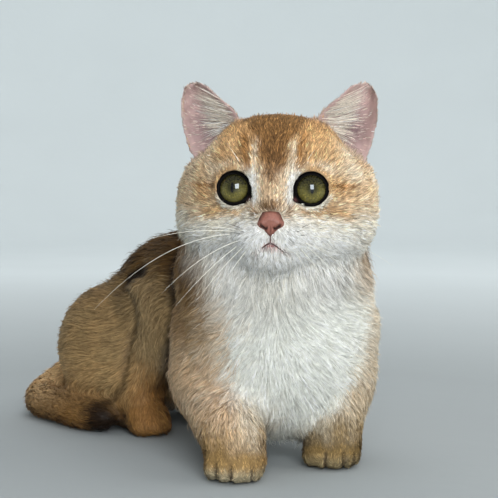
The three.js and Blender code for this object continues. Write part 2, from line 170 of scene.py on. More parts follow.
class FaceSettings(bpy.types.PropertyGroup):
    opening: length("Eye opening", "Radius of the opening between the lids", 0.0066)
    rim: length("Lid rim", "Outer radius of the dark rim of the lids", 0.0082)
    iris: colour("Iris", "Olive green of the eye", srgb(98, 92, 46))
    iris_deep: colour("Deep iris", "Darker green round the pupil and under the upper lid", srgb(40, 39, 16))
    lid: colour("Lid", "Black of the lids", srgb(8, 5, 4))
    leather: colour("Nose leather", "Brick pink of the nose", srgb(152, 96, 80))
    leather_edge: colour("Nose edge", "Dark edge of the nose and its openings", srgb(70, 34, 26))
    lip: colour("Lip", "Dusky pink of the lips", srgb(166, 112, 108))
    ear_skin: colour("Ear skin", "Pink of the cup of the ear", srgb(200, 170, 165))
    whisker: colour("Whisker", "White of the long whiskers", srgb(250, 246, 232))


class StageSettings(bpy.types.PropertyGroup):
    camera_from_eyes: FloatVectorProperty(
        name="Camera",
        description="Place of the camera from the middle of the eyes",
        default=(-0.0112, -0.5843, 0.0084),
        size=3,
        unit="LENGTH",
        subtype="XYZ",
    )
    pitch: FloatProperty(
        name="Pitch", description="How far the camera looks down", default=math.radians(3.5), subtype="ANGLE"
    )
    lens: FloatProperty(name="Lens", description="Focal length in millimetres on a 36 mm frame", default=92.0, min=1.0)
    floor: colour("Floor", "Colour of the floor and backdrop", srgb(206, 213, 214))


# ---------------------------------------------------------------------------------------------------------
# Small tools for arrays and meshes
def ramp(low, high, x):
    """A smooth step: 0 at low, 1 at high, with level ends."""
    t = np.clip((x - low) / (high - low), 0.0, 1.0)
    return t * t * (3 - 2 * t)


def bell(x, wide):
    """A bell curve: 1 at 0, falling by e at wide."""
    return np.exp(-((x / wide) ** 2))


def mixed(a, b, part):
    """Colour a turned towards colour b by a share for each point; each may be one colour or one for each point."""
    return a + (np.asarray(b) - a) * np.asarray(part)[..., None]


def ripple(p, size, seed, count=9):
    """Smooth random values about 0: a sum of sine waves, size mm long, in seeded directions."""
    rng = np.random.default_rng(seed)
    waves = unit(rng.normal(size=(count, 3))) * (2 * np.pi / size) * rng.uniform(0.6, 1.5, (count, 1))
    return np.sin(p @ waves.T + rng.uniform(0, 2 * np.pi, count)).sum(1) / math.sqrt(count / 2)


def normals_of(points, tris):
    """Normals of the points: the sum of the cross products of the triangles round each."""
    a, b, c = (points[tris[:, k]] for k in range(3))
    cross = np.cross(b - a, c - a)
    out = np.stack(
        [sum(np.bincount(tris[:, k], cross[:, axis], len(points)) for k in range(3)) for axis in range(3)], 1
    )
    return unit(out)


def neighbour_mean(values, links, count):
    """The mean of each point's neighbours along the edges."""
    a, b = links.T
    n = len(values)
    return np.stack(
        [
            (np.bincount(a, values[b, k], n) + np.bincount(b, values[a, k], n)) / count
            for k in range(values.shape[1])
        ],
        1,
    )


def relaxed(values, links, count, times, part=0.5):
    """Values moved towards the mean of their neighbours, again and again."""
    for _ in range(times):
        values = values + (neighbour_mean(values, links, count) - values) * part
    return values


def edges_of(tris):
    """Each edge once, and the number of edges at each point."""
    pairs = np.sort(np.concatenate([tris[:, [0, 1]], tris[:, [1, 2]], tris[:, [2, 0]]]), 1)
    links = np.unique(pairs, axis=0)
    return links, np.bincount(links.ravel(), minlength=tris.max() + 1)


def piece(name, points, faces, material):
    """An object of its points (mm) and faces (triangles or four-sided), riding on the body."""
    faces = np.ascontiguousarray(faces, np.int32)
    mesh = bpy.data.meshes.new(name)
    mesh.vertices.add(len(points))
    mesh.vertices.foreach_set("co", (np.asarray(points) * MM).astype(np.float32).ravel())
    mesh.loops.add(faces.size)
    mesh.loops.foreach_set("vertex_index", faces.ravel())
    mesh.polygons.add(len(faces))
    mesh.polygons.foreach_set("loop_start", np.arange(0, faces.size, faces.shape[1], dtype=np.int32))
    mesh.polygons.foreach_set("use_smooth", np.ones(len(faces), bool))
    mesh.update(calc_edges=True)
    obj = bpy.data.objects.new(name, mesh)
    bpy.context.scene.collection.objects.link(obj)
    mesh.materials.append(material)
    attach(obj, "root")
    return obj


def paint(obj, rgb):
    """A colour for each point, kept in the attribute named coat."""
    layer = obj.data.color_attributes.new("coat", "FLOAT_COLOR", "POINT")
    rgba = np.ones((len(rgb), 4), np.float32)
    rgba[:, :3] = np.clip(rgb, 0.0, 1.0)
    layer.data.foreach_set("color", rgba.ravel())


def unwrap(obj, uv):
    """The UV map OFBake, from a place for each point."""
    corner = np.empty(len(obj.data.loops), np.int32)
    obj.data.loops.foreach_get("vertex_index", corner)
    obj.data.uv_layers.new(name="OFBake").data.foreach_set("uv", uv[corner].astype(np.float32).ravel())


def set_normals(obj, normals):
    """Shading normals for the points."""
    layer = obj.data.attributes.new("custom_normal", "FLOAT_VECTOR", "POINT")
    layer.data.foreach_set("vector", normals.astype(np.float32).ravel())
    obj.data.update()


def grid_faces(rows, columns):
    """Four-sided faces of a grid of rows and columns whose last column joins the first."""
    r, c = np.meshgrid(np.arange(rows - 1), np.arange(columns), indexing="ij")
    nxt = (c + 1) % columns
    faces = np.stack([r * columns + c, r * columns + nxt, (r + 1) * columns + nxt, (r + 1) * columns + c], -1)
    return faces.reshape(-1, 4)


def as_tris(quads):
    """Two triangles for each four-sided face."""
    return np.concatenate([quads[:, [0, 1, 2]], quads[:, [0, 2, 3]]])


def capped(rows, columns):
    """Triangles of a closed grid whose first and last row end in one point each, kept after the grid's points."""
    body = as_tris(grid_faces(rows, columns))
    ring = np.arange(columns)
    nxt = (ring + 1) % columns
    first, last = rows * columns, rows * columns + 1
    start = np.stack([np.full(columns, first), nxt, ring], 1)
    end = np.stack([np.full(columns, last), (rows - 1) * columns + ring, (rows - 1) * columns + nxt], 1)
    return np.concatenate([body, start, end])


def strip_faces(steps, count):
    """Triangles of many strips at once: each has two points in every row but the last, which is one point."""
    per = 2 * steps + 1
    one = []
    for i in range(0, 2 * steps - 2, 2):
        one += [[i, i + 1, i + 3], [i, i + 3, i + 2]]
    one.append([per - 3, per - 2, per - 1])
    return (np.array(one)[None] + (np.arange(count) * per)[:, None, None]).reshape(-1, 3)


def outwards(points, faces):
    """The faces of a closed piece, turned over where the volume they close is not above 0."""
    a, b, c = (points[faces[:, k]] for k in range(3))
    return faces if (a * np.cross(b, c)).sum() > 0 else faces[:, ::-1]


def nearest_square(points, others, chunk):
    """The square of each point's distance to the nearest of other points, worked out for a chunk at a time."""
    points, others = points.astype(np.float32), others.astype(np.float32)
    out = np.empty(len(points), np.float32)
    for start in range(0, len(points), chunk):
        part = points[start : start + chunk]
        far = (part**2).sum(1)[:, None] + (others**2).sum(1) - 2 * part @ others.T
        out[start : start + chunk] = far.min(1)
    return out


def tubes(paths, radii, sides):
    """Closed tubes along many paths at once: a ring of points round each path point, and a cap point at each end."""
    many, rows, _ = paths.shape
    run = unit(np.gradient(paths, axis=1))
    ref = np.where(np.abs(run[..., 2:]) > 0.9, [1.0, 0, 0], [0, 0, 1.0])
    side = unit(np.cross(run, ref))
    over = np.cross(side, run)
    turn = np.arange(sides) / sides * 2 * np.pi
    ring = side[:, :, None] * np.cos(turn)[:, None] + over[:, :, None] * np.sin(turn)[:, None]
    skin = paths[:, :, None] + ring * radii[:, :, None, None]
    points = np.concatenate([skin.reshape(many, -1, 3), paths[:, :1], paths[:, -1:]], 1)
    one = capped(rows, sides)[:, ::-1]
    faces = one[None] + (np.arange(many) * points.shape[1])[:, None, None]
    return points.reshape(-1, 3), faces.reshape(-1, 3)


# ---------------------------------------------------------------------------------------------------------
# Materials
def material(name, rough, **sockets):
    """A node material with its Principled shader and the shader's own sockets set."""
    mat = bpy.data.materials.new(name)
    mat.use_nodes = True
    tree = mat.node_tree
    shader = tree.nodes["Principled BSDF"]
    shader.inputs["Roughness"].default_value = rough
    for socket, value in sockets.items():
        shader.inputs[socket.replace("_", " ")].default_value = value
    return mat, tree, shader


def noise(tree, scale, detail):
    """A noise texture on Object coordinates."""
    tex = tree.nodes.new("ShaderNodeTexNoise")
    tex.inputs["Scale"].default_value = scale
    tex.inputs["Detail"].default_value = detail
    tree.links.new(tree.nodes.new("ShaderNodeTexCoord").outputs["Object"], tex.inputs["Vector"])
    return tex.outputs["Fac"]


def levels(tree, value, low, high, start=0.3, end=0.7):
    """A value spread from start..end to low..high."""
    node = tree.nodes.new("ShaderNodeMapRange")
    for socket, number in (("From Min", start), ("From Max", end), ("To Min", low), ("To Max", high)):
        node.inputs[socket].default_value = number
    tree.links.new(value, node.inputs["Value"])
    return node.outputs["Result"]


def tinted(tree, first, shade):
    """A colour times a grey."""
    node = tree.nodes.new("ShaderNodeMix")
    node.data_type = "RGBA"
    node.blend_type = "MULTIPLY"
    node.inputs["Factor"].default_value = 1.0
    tree.links.new(first, node.inputs["A"])
    tree.links.new(shade, node.inputs["B"])
    return node.outputs["Result"]


def painted(tree):
    """The colour kept in the coat attribute."""
    node = tree.nodes.new("ShaderNodeAttribute")
    node.attribute_name = "coat"
    return node.outputs["Color"]


def bumped(tree, shader, height, strength, distance):
    """A bump from a height."""
    node = tree.nodes.new("ShaderNodeBump")
    node.inputs["Strength"].default_value = strength
    node.inputs["Distance"].default_value = distance
    tree.links.new(height, node.inputs["Height"])
    tree.links.new(node.outputs["Normal"], shader.inputs["Normal"])


def painted_material(name, rough, mottle, bump=None, **sockets):
    """The painted colour times a mottle (scale and detail of a noise, darkest and lightest grey), and where it is given
    a bump (scale and detail of a noise, strength, distance)."""
    mat, tree, shader = material(name, rough, **sockets)
    scale, detail, low, high = mottle
    shade = levels(tree, noise(tree, scale, detail), low, high)
    tree.links.new(tinted(tree, painted(tree), shade), shader.inputs["Base Color"])
    if bump:
        scale, detail, strength, distance = bump
        bumped(tree, shader, noise(tree, scale, detail), strength, distance)
    return mat


def coat_material(name, rough, sheen):
    """Hair: the painted colour with fine streaks of light and dark, an uneven soft gloss and a little sheen."""
    looks = {"Sheen_Weight": sheen, "Sheen_Roughness": 0.45, "Specular_IOR_Level": 0.15}
    mat = painted_material(name, rough, (420.0, 2.0, 0.86, 1.12), **looks)
    tree = mat.node_tree
    gloss = levels(tree, noise(tree, 900.0, 1.0), rough - 0.1, rough + 0.12)
    tree.links.new(gloss, tree.nodes["Principled BSDF"].inputs["Roughness"])
    return mat


# ---------------------------------------------------------------------------------------------------------
# Skin
FLESH = [
    "head", "nose", "neck", "torso", "ear_left", "ear_right", "foreleg_left", "foreleg_right",
    "forepaw_left", "forepaw_right", "haunch_left", "haunch_right", "hindpaw_left", "hindpaw_right",
    "tail_root", "tail_middle", "tail_tip",
]
# For each zone of the body, in millimetres: the length of the hair, the depth of the coat over the skin, and how far
# hairs of neighbouring colours mix at the borders between them. Then how strongly neighbouring tufts differ in
# brightness, and the share of them with dark tips.
ZONES = {
    "head": (4.4, 1.7, 0.7, 1.4, 0.16),
    "ear": (1.7, 0.35, 0.5, 0.8, 0.1),
    "neck": (9.0, 3.6, 2.0, 0.7, 0.2),
    "torso": (10.5, 3.8, 2.6, 0.6, 0.25),
    "foreleg": (7.0, 2.4, 2.4, 0.7, 0.04),
    "forepaw": (2.6, 0.9, 0.7, 0.8, 0.12),
    "haunch": (8.5, 3.0, 2.0, 0.5, 0.16),
    "hindpaw": (4.0, 1.2, 1.0, 0.6, 0.2),
    "tail": (7.0, 2.0, 2.0, 0.5, 0.2),
}
LENGTH, DEPTH, SPREAD, CONTRAST, TICKED = np.array(list(ZONES.values())).T.copy()
Z = {name: k for k, name in enumerate(ZONES)}
# In millimetres: corners of a node closer than about this are one point, and how far the copies of the nodes grow
# outwards, so that they overlap across the gaps between them.
MERGED, GROWN = 0.002, 0.45
BODY = {}


def zone_of(name):
    """The zone that a node belongs to."""
    first = name.split("_")[0]
    return "head" if first == "nose" else first


def copy_of(name):
    """Points (mm) and triangles of a copy of a node, with its doubled corners merged."""
    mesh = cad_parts[name].data
    points = np.empty(3 * len(mesh.vertices))
    mesh.vertices.foreach_get("co", points)
    mesh.calc_loop_triangles()
    tris = np.empty(3 * len(mesh.loop_triangles), np.int32)
    mesh.loop_triangles.foreach_get("vertices", tris)
    points = points.reshape(-1, 3) / MM
    cells = np.round(points / MERGED).astype(np.int64)
    _, first, back = np.unique(cells, axis=0, return_index=True, return_inverse=True)
    tris = back.reshape(-1)[tris].reshape(-1, 3)
    whole = (tris[:, 0] != tris[:, 1]) & (tris[:, 1] != tris[:, 2]) & (tris[:, 2] != tris[:, 0])
    return points[first], tris[whole]


def rebuilt(points, tris, cell):
    """One closed surface round overlapping bodies: a voxel remesh, as points (mm) and triangles."""
    mesh = bpy.data.meshes.new("rebuild")
    mesh.from_pydata((points * MM).tolist(), [], tris.tolist())
    obj = bpy.data.objects.new("rebuild", mesh)
    bpy.context.scene.collection.objects.link(obj)
    mod = obj.modifiers.new("cells", "REMESH")
    mod.mode = "VOXEL"
    mod.voxel_size = cell
    done = obj.evaluated_get(bpy.context.evaluated_depsgraph_get()).to_mesh()
    out = np.empty(3 * len(done.vertices))
    done.vertices.foreach_get("co", out)
    done.calc_loop_triangles()
    faces = np.empty(3 * len(done.loop_triangles), np.int32)
    done.loop_triangles.foreach_get("vertices", faces)
    obj.to_mesh_clear()
    bpy.data.objects.remove(obj)
    bpy.data.meshes.remove(mesh)
    return out.reshape(-1, 3) / MM, faces.reshape(-1, 3)


def largest_shell(points, tris):
    """The closed surface with the most points: each point takes the lowest number that reaches it."""
    links, _ = edges_of(tris)
    mark = np.arange(len(points))
    while True:
        low = np.minimum(mark[links[:, 0]], mark[links[:, 1]])
        new = mark.copy()
        np.minimum.at(new, links[:, 0], low)
        np.minimum.at(new, links[:, 1], low)
        new = new[new]
        if (new == mark).all():
            break
        mark = new
    kept = mark == np.bincount(mark).argmax()
    number = np.cumsum(kept) - 1
    return points[kept], number[tris[kept[tris[:, 0]]]]


def zone_weights(points):
    """How much each point belongs to each zone, from its distance to the nodes' own points."""
    near = np.full((len(points), len(ZONES)), 1e9, np.float32)
    for name in FLESH:
        k = Z[zone_of(name)]
        near[:, k] = np.minimum(near[:, k], nearest_square(points, copy_of(name)[0], 8000))
    near = np.sqrt(np.maximum(near, 0))
    weight = np.exp(-(near - near.min(1, keepdims=True)) / 2.0)
    return (weight / weight.sum(1, keepdims=True)).astype(float)


def eye_reach(q):
    """Distance of head points from the line of sight of the nearer eye, and the way out from it."""
    best = np.full(len(q), 1e9)
    out = np.zeros_like(q)
    for side, sign in SIDES:
        off = q - eye_at(sign)
        along = off @ LOOK[side]
        flat = off - along[:, None] * LOOK[side]
        far = np.linalg.norm(flat, axis=1)
        near = (far < best) & (along > 0)
        best[near] = far[near]
        out[near] = unit(flat[near])
    return best, out


def eye_axes(side):
    """Towards the nose, up and along the line of sight of an eye, in the head's frame."""
    look = LOOK[side]
    over = unit(np.cross([0, 0, 1.0], look)) * (-1.0 if side == "right" else 1.0)
    over = over if over[0] * (1 if side == "right" else -1) > 0 else -over
    up = np.cross(over, look)
    return over, up if up[2] > 0 else -up, look


def angle_round(side, off):
    """Angle of places round the line of sight, from the way towards the nose; off is 3 x n, in the head's frame."""
    over, up, _ = eye_axes(side)
    return np.arctan2(up @ off, over @ off)


# Where the inner corner of the lids lies, as an angle below the way to the nose.
CORNER_AT = math.radians(-34)


def rim_out(angle):
    """Outer radius of the dark rim at an angle round the line of sight: wider above and drawn out to the corner."""
    gap = (angle - CORNER_AT + np.pi) % (2 * np.pi) - np.pi
    rim = bpy.context.scene.kitten_face.rim / MM
    return rim * (1 - 0.03 * np.abs(np.sin(angle))) + 1.5 * bell(gap, 0.26) + 0.35 * bell(gap, 0.8)


def past_rim(q):
    """How far head points lie outside the dark rim of the nearer eye."""
    out = np.full(len(q), 1e9)
    for side, sign in SIDES:
        off = q - eye_at(sign)
        along = off @ LOOK[side]
        flat = np.linalg.norm(off - along[:, None] * LOOK[side], axis=1)
        past = flat - rim_out(angle_round(side, off.T))
        out = np.where(along > 0, np.minimum(out, past), out)
    return out


# Lines of the right flank, from the middle of the right haunch, in millimetres: the front edge of the thigh, the fold
# of skin before it, the gap behind the shoulder and the hollow over the fold. The skin is pressed in along the thigh's
# edge, the gap and the hollow, and painted darker there as shade.
FLANK = {
    "thigh_edge": [
        (5.9, -22.6, 36), (11.6, -32.3, 34.3), (15.4, -39, 30.7), (17.2, -42.4, 25.2), (16.6, -41.5, 18.3),
        (14.2, -38.4, 11), (12, -38.5, 4.7), (10.4, -38.2, -1.7), (9.2, -37.7, -8.7), (8, -36.2, -15.4),
        (2.5, -29.8, -21.9),
    ],
    "fold": [
        (18.7, -40.3, 39.2), (23.6, -49.5, 34.9), (24.3, -52.1, 27.4), (24.1, -51.1, 16.9), (23.1, -45.6, 5.7),
        (22.2, -41.2, -5.5), (21.5, -39.3, -13.8), (21.4, -38.3, -22), (22.3, -44.5, -31.4),
    ],
    "gap": [
        (40.5, -54.2, 60.8), (36.6, -57.8, 52.6), (35.8, -63.3, 42.3), (37.1, -68.2, 36.7), (37.3, -69.2, 29.1),
        (36.6, -69.2, 23.4), (35.2, -63.7, 13.3), (34.4, -59.1, 5), (33.2, -49.1, -5.3), (32, -30.9, -17.9),
    ],
    "hollow": [(8, -22.2, 40.6), (11.6, -26.7, 43), (15.6, -30.7, 45.2), (19.6, -35.2, 46.7)],
}


def flank_far(p, name):
    """How far points lie from a line of the flank, across the way out of the flank; far off the line it is 99."""
    line = np.array(FLANK[name], float) + middle("haunch_right")
    way_out = unit([-0.35, -0.93, 0.06])
    flat = np.eye(3) - np.outer(way_out, way_out)
    return np.where(along_line(p, line)[2] < 20, along_line(p @ flat, line @ flat)[2], 99.0)


def flank_shade(p):
    """The share of light lost in the folds of the right flank: at the thigh's edge, in the gap and in the hollow."""
    edge = 0.5 * bell(flank_far(p, "thigh_edge"), 2.6)
    gap = 0.86 * ramp(6.5, 2.0, flank_far(p, "gap"))
    hollow = 0.95 * ramp(5.0, 2.0, flank_far(p, "hollow"))
    return 1 - (1 - edge) * (1 - gap) * (1 - hollow)


# The middle line of the tail: how far back and to the right of the hips, and how high, in millimetres.
TAIL_LINE = [(24, 4, 34), (40, 14, 27), (50, 32, 15), (38, 49, 9.5), (12, 51, 9.5), (-15, 49, 9.2), (-36, 43, 8.6)]


def tail_line():
    """Points along the middle of the tail, from its root to its tip."""
    hips = middle("haunch_left", "haunch_right") + 4.9 * BACKWARD
    out = np.array([hips + back * BACKWARD + right * RIGHTWARD for back, right, _ in TAIL_LINE])
    out[:, 2] = [high for _, _, high in TAIL_LINE]
    return out


def along_line(points, line):
    """For each point: the direction of the nearest stretch of a line, its share of the way along, and how far it is."""
    best = np.full(len(points), 1e9)
    run = np.zeros_like(points)
    part = np.zeros(len(points))
    steps = np.linalg.norm(np.diff(line, axis=0), axis=1)
    gone = np.concatenate([[0], np.cumsum(steps)]) / steps.sum()
    for k in range(len(line) - 1):
        a, d = line[k], line[k + 1] - line[k]
        t = np.clip((points - a) @ d / (d @ d), 0, 1)
        far = np.linalg.norm(points - a - t[:, None] * d, axis=1)
        near = far < best
        best[near] = far[near]
        run[near] = unit(d)
        part[near] = (gone[k] + t * (gone[k + 1] - gone[k]))[near]
    return run, part, best


def lie_of_coat(p, n, w):
    """The way the hair lies: guide directions for each zone, mixed by the weights and laid on the skin."""
    q = to_head(p)
    nose = NOSE + np.array([0.0, 6.0, 1.0])
    face = unit(q - nose)
    face[:, 2] -= 0.18 * ramp(2, -14, q[:, 2]) * ramp(8, 24, np.abs(q[:, 0]))
    behind = ramp(4, 26, q[:, 1])[:, None]
    face = unit(face) * (1 - behind) + unit([0.0, 0.35, -1.0]) * behind
    reach, out = eye_reach(q)
    by_eye = (ramp(13.5, 8.5, reach) * 0.75)[:, None]
    face = face * (1 - by_eye) + out * by_eye
    head = unit(face @ HEAD_AXES.T)

    ear = p - np.where((q[:, 0] > 0)[:, None], middle("ear_left"), middle("ear_right"))
    ear = unit(ear * [0.7, 0.3, 0.6] + np.array([0, 0, 26.0]))

    neck = unit(unit(p - HEAD) * [1.0, 1.0, 0.0] * 0.45 + DOWN)

    fan = unit((p - THROAT) * [2.1, 0.35, 1.0] + [0, 0, -6.0])
    run = (p - THROAT) @ BACKWARD
    high = ramp(35, 80, p[:, 2])[:, None]
    side = unit(BACKWARD * (0.15 + 0.85 * high) + DOWN * (1.0 - 0.45 * high))
    front = (ramp(46, 22, run) * ramp(-0.5, 0.1, -n[:, 1]))[:, None]
    torso = side * (1 - front) + fan * front

    shoulder = ramp(24, 48, p[:, 2])[:, None]
    leg = unit(unit(DOWN + 0.25 * n + 0.1 * BACKWARD) * (1 - shoulder) + fan * shoulder)
    paw = unit(np.array([0.0, -1.0, -0.35]) + 0.25 * n)
    haunch = unit(BACKWARD * 0.95 + DOWN * (0.18 + 0.5 * ramp(30, 8, p[:, 2])[:, None]))
    hind_paw = unit(-BACKWARD + DOWN * 0.35)
    tail, _, _ = along_line(p, tail_line())

    ways = [head, ear, neck, torso, leg, paw, haunch, hind_paw, tail]
    flow = sum(w[:, k : k + 1] * (way if way.ndim == 2 else way[None]) for k, way in enumerate(ways))
    fold = (bell(flank_far(p, "fold"), 8.0) * (p[:, 2] > 4))[:, None]
    flow = flow * (1 - fold) + (DOWN + 0.12 * BACKWARD) * fold
    flow -= (flow * n).sum(1, keepdims=True) * n
    return unit(flow)


def cup_of_ear(n, w):
    """How much a point lies in the cup of an ear: on the ear and turned to the front."""
    return ramp(0.35, 0.7, w[:, Z["ear"]]) * ramp(0.1, 0.45, n @ -BACK)


# Places across the front paws of the gaps between the toes, in millimetres.
TOE_GAPS = {"forepaw_right": (16.4, 23.6, 33.1), "forepaw_left": (67.6, 76.0, 81.0)}


def toe_gaps(p):
    """How much a point lies in a gap between toes: bell curves across the paw, kept to its low front."""
    out = np.zeros(len(p))
    for name, places in TOE_GAPS.items():
        low, high = box(name)
        front = ramp(low[1] + 13, low[1] + 7, p[:, 1]) * ramp(11, 6.5, p[:, 2])
        near = (p[:, 0] > low[0] - 3) & (p[:, 0] < high[0] + 3) & (p[:, 1] < high[1])
        for place in places:
            out += near * front * bell(p[:, 0] - place - 0.12 * (p[:, 1] - low[1]), 0.85)
    return np.clip(out, 0, 1)


def face_shares(q):
    """How short the face's coat is: 1 on the muzzle, bridge and lids, 0 on the cheeks and crown."""
    reach, _ = eye_reach(q)
    muzzle = bell(np.linalg.norm((q - [0, -34, -21]) / [15, 14, 13], axis=1), 1.0)
    bridge = bell(np.linalg.norm((q - [0, -36, -4]) / [9, 10, 13], axis=1), 1.0)
    lids = ramp(15, 9.5, reach)
    return np.clip(np.maximum(np.maximum(muzzle, bridge), lids), 0, 1)


def cheek_share(q):
    """How much head points lie low on the outside of a cheek."""
    return ramp(26, 42, np.abs(q[:, 0])) * ramp(6, -12, q[:, 2])


def coat_length(p, w):
    """Hair length: the zones' lengths, longer on the cheeks, the jaw and the roots of the ears, and shorter on the
    middle of the face, between the toes and in the folds of the flank."""
    q = to_head(p)
    head = w[:, Z["head"]]
    place = np.abs(q) * [1, 0, 0] + q * [0, 1, 1]
    roots = 0.7 * bell(np.linalg.norm((place - [29, 2, 28]) / [12, 9, 8], axis=1), 1.0)
    jaw = ramp(-22, -32, q[:, 2]) * ramp(10, -10, q[:, 1])
    base = w @ LENGTH
    base = base * (1 - 0.5 * bell(flank_far(p, "gap"), 6.0)) * (1 - 0.7 * bell(flank_far(p, "hollow"), 6.0))
    base = base * (1 - 0.5 * face_shares(q) * head) * (1 + 0.75 * cheek_share(q) * head)
    return base * (1 + 0.9 * roots * head) * (1 + 0.5 * jaw * head) * (1 - 0.5 * toe_gaps(p))


def coat_depth(p, w):
    """Depth of the coat: the zones' depths, thin on the middle of the face and at the eyes."""
    q = to_head(p)
    reach, _ = eye_reach(q)
    head = w[:, Z["head"]]
    base = (w @ DEPTH) * (1 - 0.55 * face_shares(q) * head) * (1 + 0.7 * cheek_share(q) * head)
    return np.where(reach < 9.5, 0.25, base)


# ---------------------------------------------------------------------------------------------------------
# Markings and painted shade, the same for skin and coat
# The dark spots that the whiskers grow from: out from the middle of the face, and up from the eyes, in millimetres.
WHISKER_SPOTS = (
    (8.5, -18.6), (11.6, -18.0), (14.8, -17.6), (9.4, -21.2), (12.6, -20.9), (16.0, -20.7), (9.0, -24.0),
    (12.4, -24.0), (15.6, -24.2),
)


def markings_and_painted_shade(p, n, w):
    """The colour of the hair tips, with painted shade under the chin, on the rear of the trunk, on the right side of
    the neck and shoulder, between the toes and by the right hind paw, and how strongly they are ticked with dark,
    worked out from the place alone.
    """
    s = bpy.context.scene.kitten_coat
    gold, pale, cream, white, brown, dark, warm = (
        np.array(getattr(s, k)[:]) for k in ("gold", "pale", "cream", "white", "brown", "dark", "warm")
    )
    q = to_head(p)
    x, y, z = q.T
    side = np.abs(x)
    reach, _ = eye_reach(q)
    drift = ripple(p, 14.0, 3)
    front = ramp(16, -4, y)

    base = np.tile(gold, (len(p), 1))
    rich = brown * [1.02, 0.84, 0.52]
    head = mixed(base, pale, np.clip(0.66 + 0.14 * drift, 0, 1))
    head = mixed(head, gold, 0.8 * ramp(8, 14, z) * ramp(32, 22, side) * front)
    head = mixed(head, gold, 0.45 * ramp(18, 28, z) * front)
    head = mixed(head, rich, 0.5 * ramp(24, 34, z + 1.5 * drift) * ramp(30, 16, side))
    head = mixed(head, brown, 0.45 * (1 - front))
    brow = bell(np.hypot((side - 22) / 8.5, (z - 10.8 + 0.02 * (side - 18) ** 2) / 2.2), 1.0)
    head = mixed(head, cream, 0.35 * brow * front)
    low = ramp(-7, -15, z + 1.2 * drift) * front
    head = mixed(head, cream, 0.9 * low)
    head = mixed(head, white, 0.9 * ramp(-13, -28, z + 1.5 * drift) * front * ramp(46, 32, side))
    under = 0.78 * bell(z + 9.4 + 0.010 * (side - 20) ** 2, 3.2) * ramp(9, 15, side) * ramp(42, 30, side) * front
    head = mixed(head, gold * mixed(0.92, [0.80, 0.76, 0.68], ramp(-4, 8, x)), under)
    head = mixed(head, gold, 0.65 * bell(np.hypot((side - 31) / 8, (z + 1.5) / 5), 1.0) * front)
    half = np.interp(z, [-2, 5, 9.5, 18.5, 29, 33.5, 40], [2.2, 3.6, 4.6, 7.2, 12.5, 15.5, 18.0])
    crown = ramp(half + 2.2, half - 2.0, np.abs(x + 0.3 + 1.1 * drift)) * ramp(-3, 5, z) * (0.35 + 0.65 * front)
    head = mixed(head, mixed(rich, brown * 1.1, 0.7 * ramp(18, 32, z)), 0.8 * crown)
    head = mixed(head, dark, 0.34 * bell(x, 4.2) * ramp(8, 14, z) * ramp(27, 18, z) * front)
    head = mixed(head, rich, 0.85 * bell(side - 12.4 - 0.14 * (z - 16), 1.7) * ramp(6, 11, z) * ramp(29, 22, z) * front)
    streak = bell(side - np.where(x > 0, 8.9, 8.2) - 0.05 * (z - 16), 1.25) * ramp(6, 10, z) * ramp(24, 19, z)
    head = mixed(head, pale, 0.85 * streak * front)
    bridge = 0.6 * bell(x, 6.0) * ramp(5, 0, z) * ramp(-8, -3, z) * front
    head = mixed(head, mixed(gold, pale, 0.4), bridge)
    head = mixed(head, gold, 0.75 * ramp(12.0, 9.2, reach) * ramp(-3, 3, z) * ramp(13, 18, side))
    ring = ramp(10.7, 9.2, reach) * np.maximum(ramp(-1, -5, z), ramp(14, 10.5, side))
    head = mixed(head, cream, 0.95 * ring)
    inner = bell(side - 7.8 - 0.16 * np.maximum(z + 2, 0), 1.7) * ramp(-10, -6, z) * ramp(11, 4, z) * front
    head = mixed(head, white, 0.95 * inner)
    line = bell(z - 1.8 + 0.03 * (side - 27), 1.1) * ramp(25.5, 28, side) * ramp(43, 34, side)
    head = mixed(head, rich, 0.9 * line * front)
    smudge = bell(np.hypot((x + 0.6) / 5.0, (z + 7.8) / 2.6), 1.0) * front
    head = mixed(head, rich * 0.55, np.clip(1.15 * smudge, 0, 0.92))
    corner = bell(np.hypot((side - 7.9 - 0.1 * (z + 10)) / 1.5, (z + 10.6) / 3.6), 1.0) * front
    head = mixed(head, rich * 0.8, 0.85 * corner)
    pads = bell(np.hypot((side - 8.5) / 8.5, (z + 21.5) / 5.5), 1.0) * ramp(-24, -30, y)
    head = mixed(head, white, 0.95 * np.clip(pads * 1.3, 0, 1))
    rows = sum(bell(np.hypot((side - a) / 1.6, z - b), 0.55) for a, b in WHISKER_SPOTS)
    head = mixed(head, dark, 0.42 * np.clip(rows, 0, 1) * front)
    lips = bell(z + np.interp(side, MOUTH_OUT, MOUTH_DOWN), 0.9) * ramp(9.5, 6.5, side) * ramp(-30, -33, y)
    head = mixed(head, np.array([0.20, 0.09, 0.08]), 0.8 * lips)
    chin = bell(np.hypot(x / 3.2, (z + 26.0) / 2.0), 1.0) * ramp(-30, -33, y)
    head = mixed(head, np.array([0.62, 0.33, 0.31]), 0.6 * chin)

    ear = mixed(base, pale, 0.3)
    ear = mixed(ear, brown, 0.3 * ramp(0.3, 0.8, n @ BACK))
    ear = mixed(ear, [0.62, 0.50, 0.45], 0.9 * ramp(0.45, 0.1, n @ BACK))

    wide_white = ramp(1.25, 0.80, np.abs(x - 5 + 1.5 * drift) / np.where(x < 5, 30, 38))
    neck = mixed(base, brown, 0.8 * ramp(-8, 20, y))
    # Darker brown on the right side of the neck: partly darker ticked fur, partly painted shade from the head.
    neck = mixed(neck, brown * 0.8, 0.9 * ramp(-14, -28, x))
    neck = mixed(neck, cream, 0.5 * ramp(0, 20, x) * ramp(6, -10, y))
    neck = mixed(neck, cream, 0.8 * ramp(1.45, 1.0, np.abs(x - 5) / np.where(x < 5, 30, 38)) * ramp(0, -14, y))
    neck = mixed(neck, white * 0.8, wide_white * ramp(0, -16, y))
    neck = neck * (1 - 0.30 * ramp(14, 34, x))[:, None]

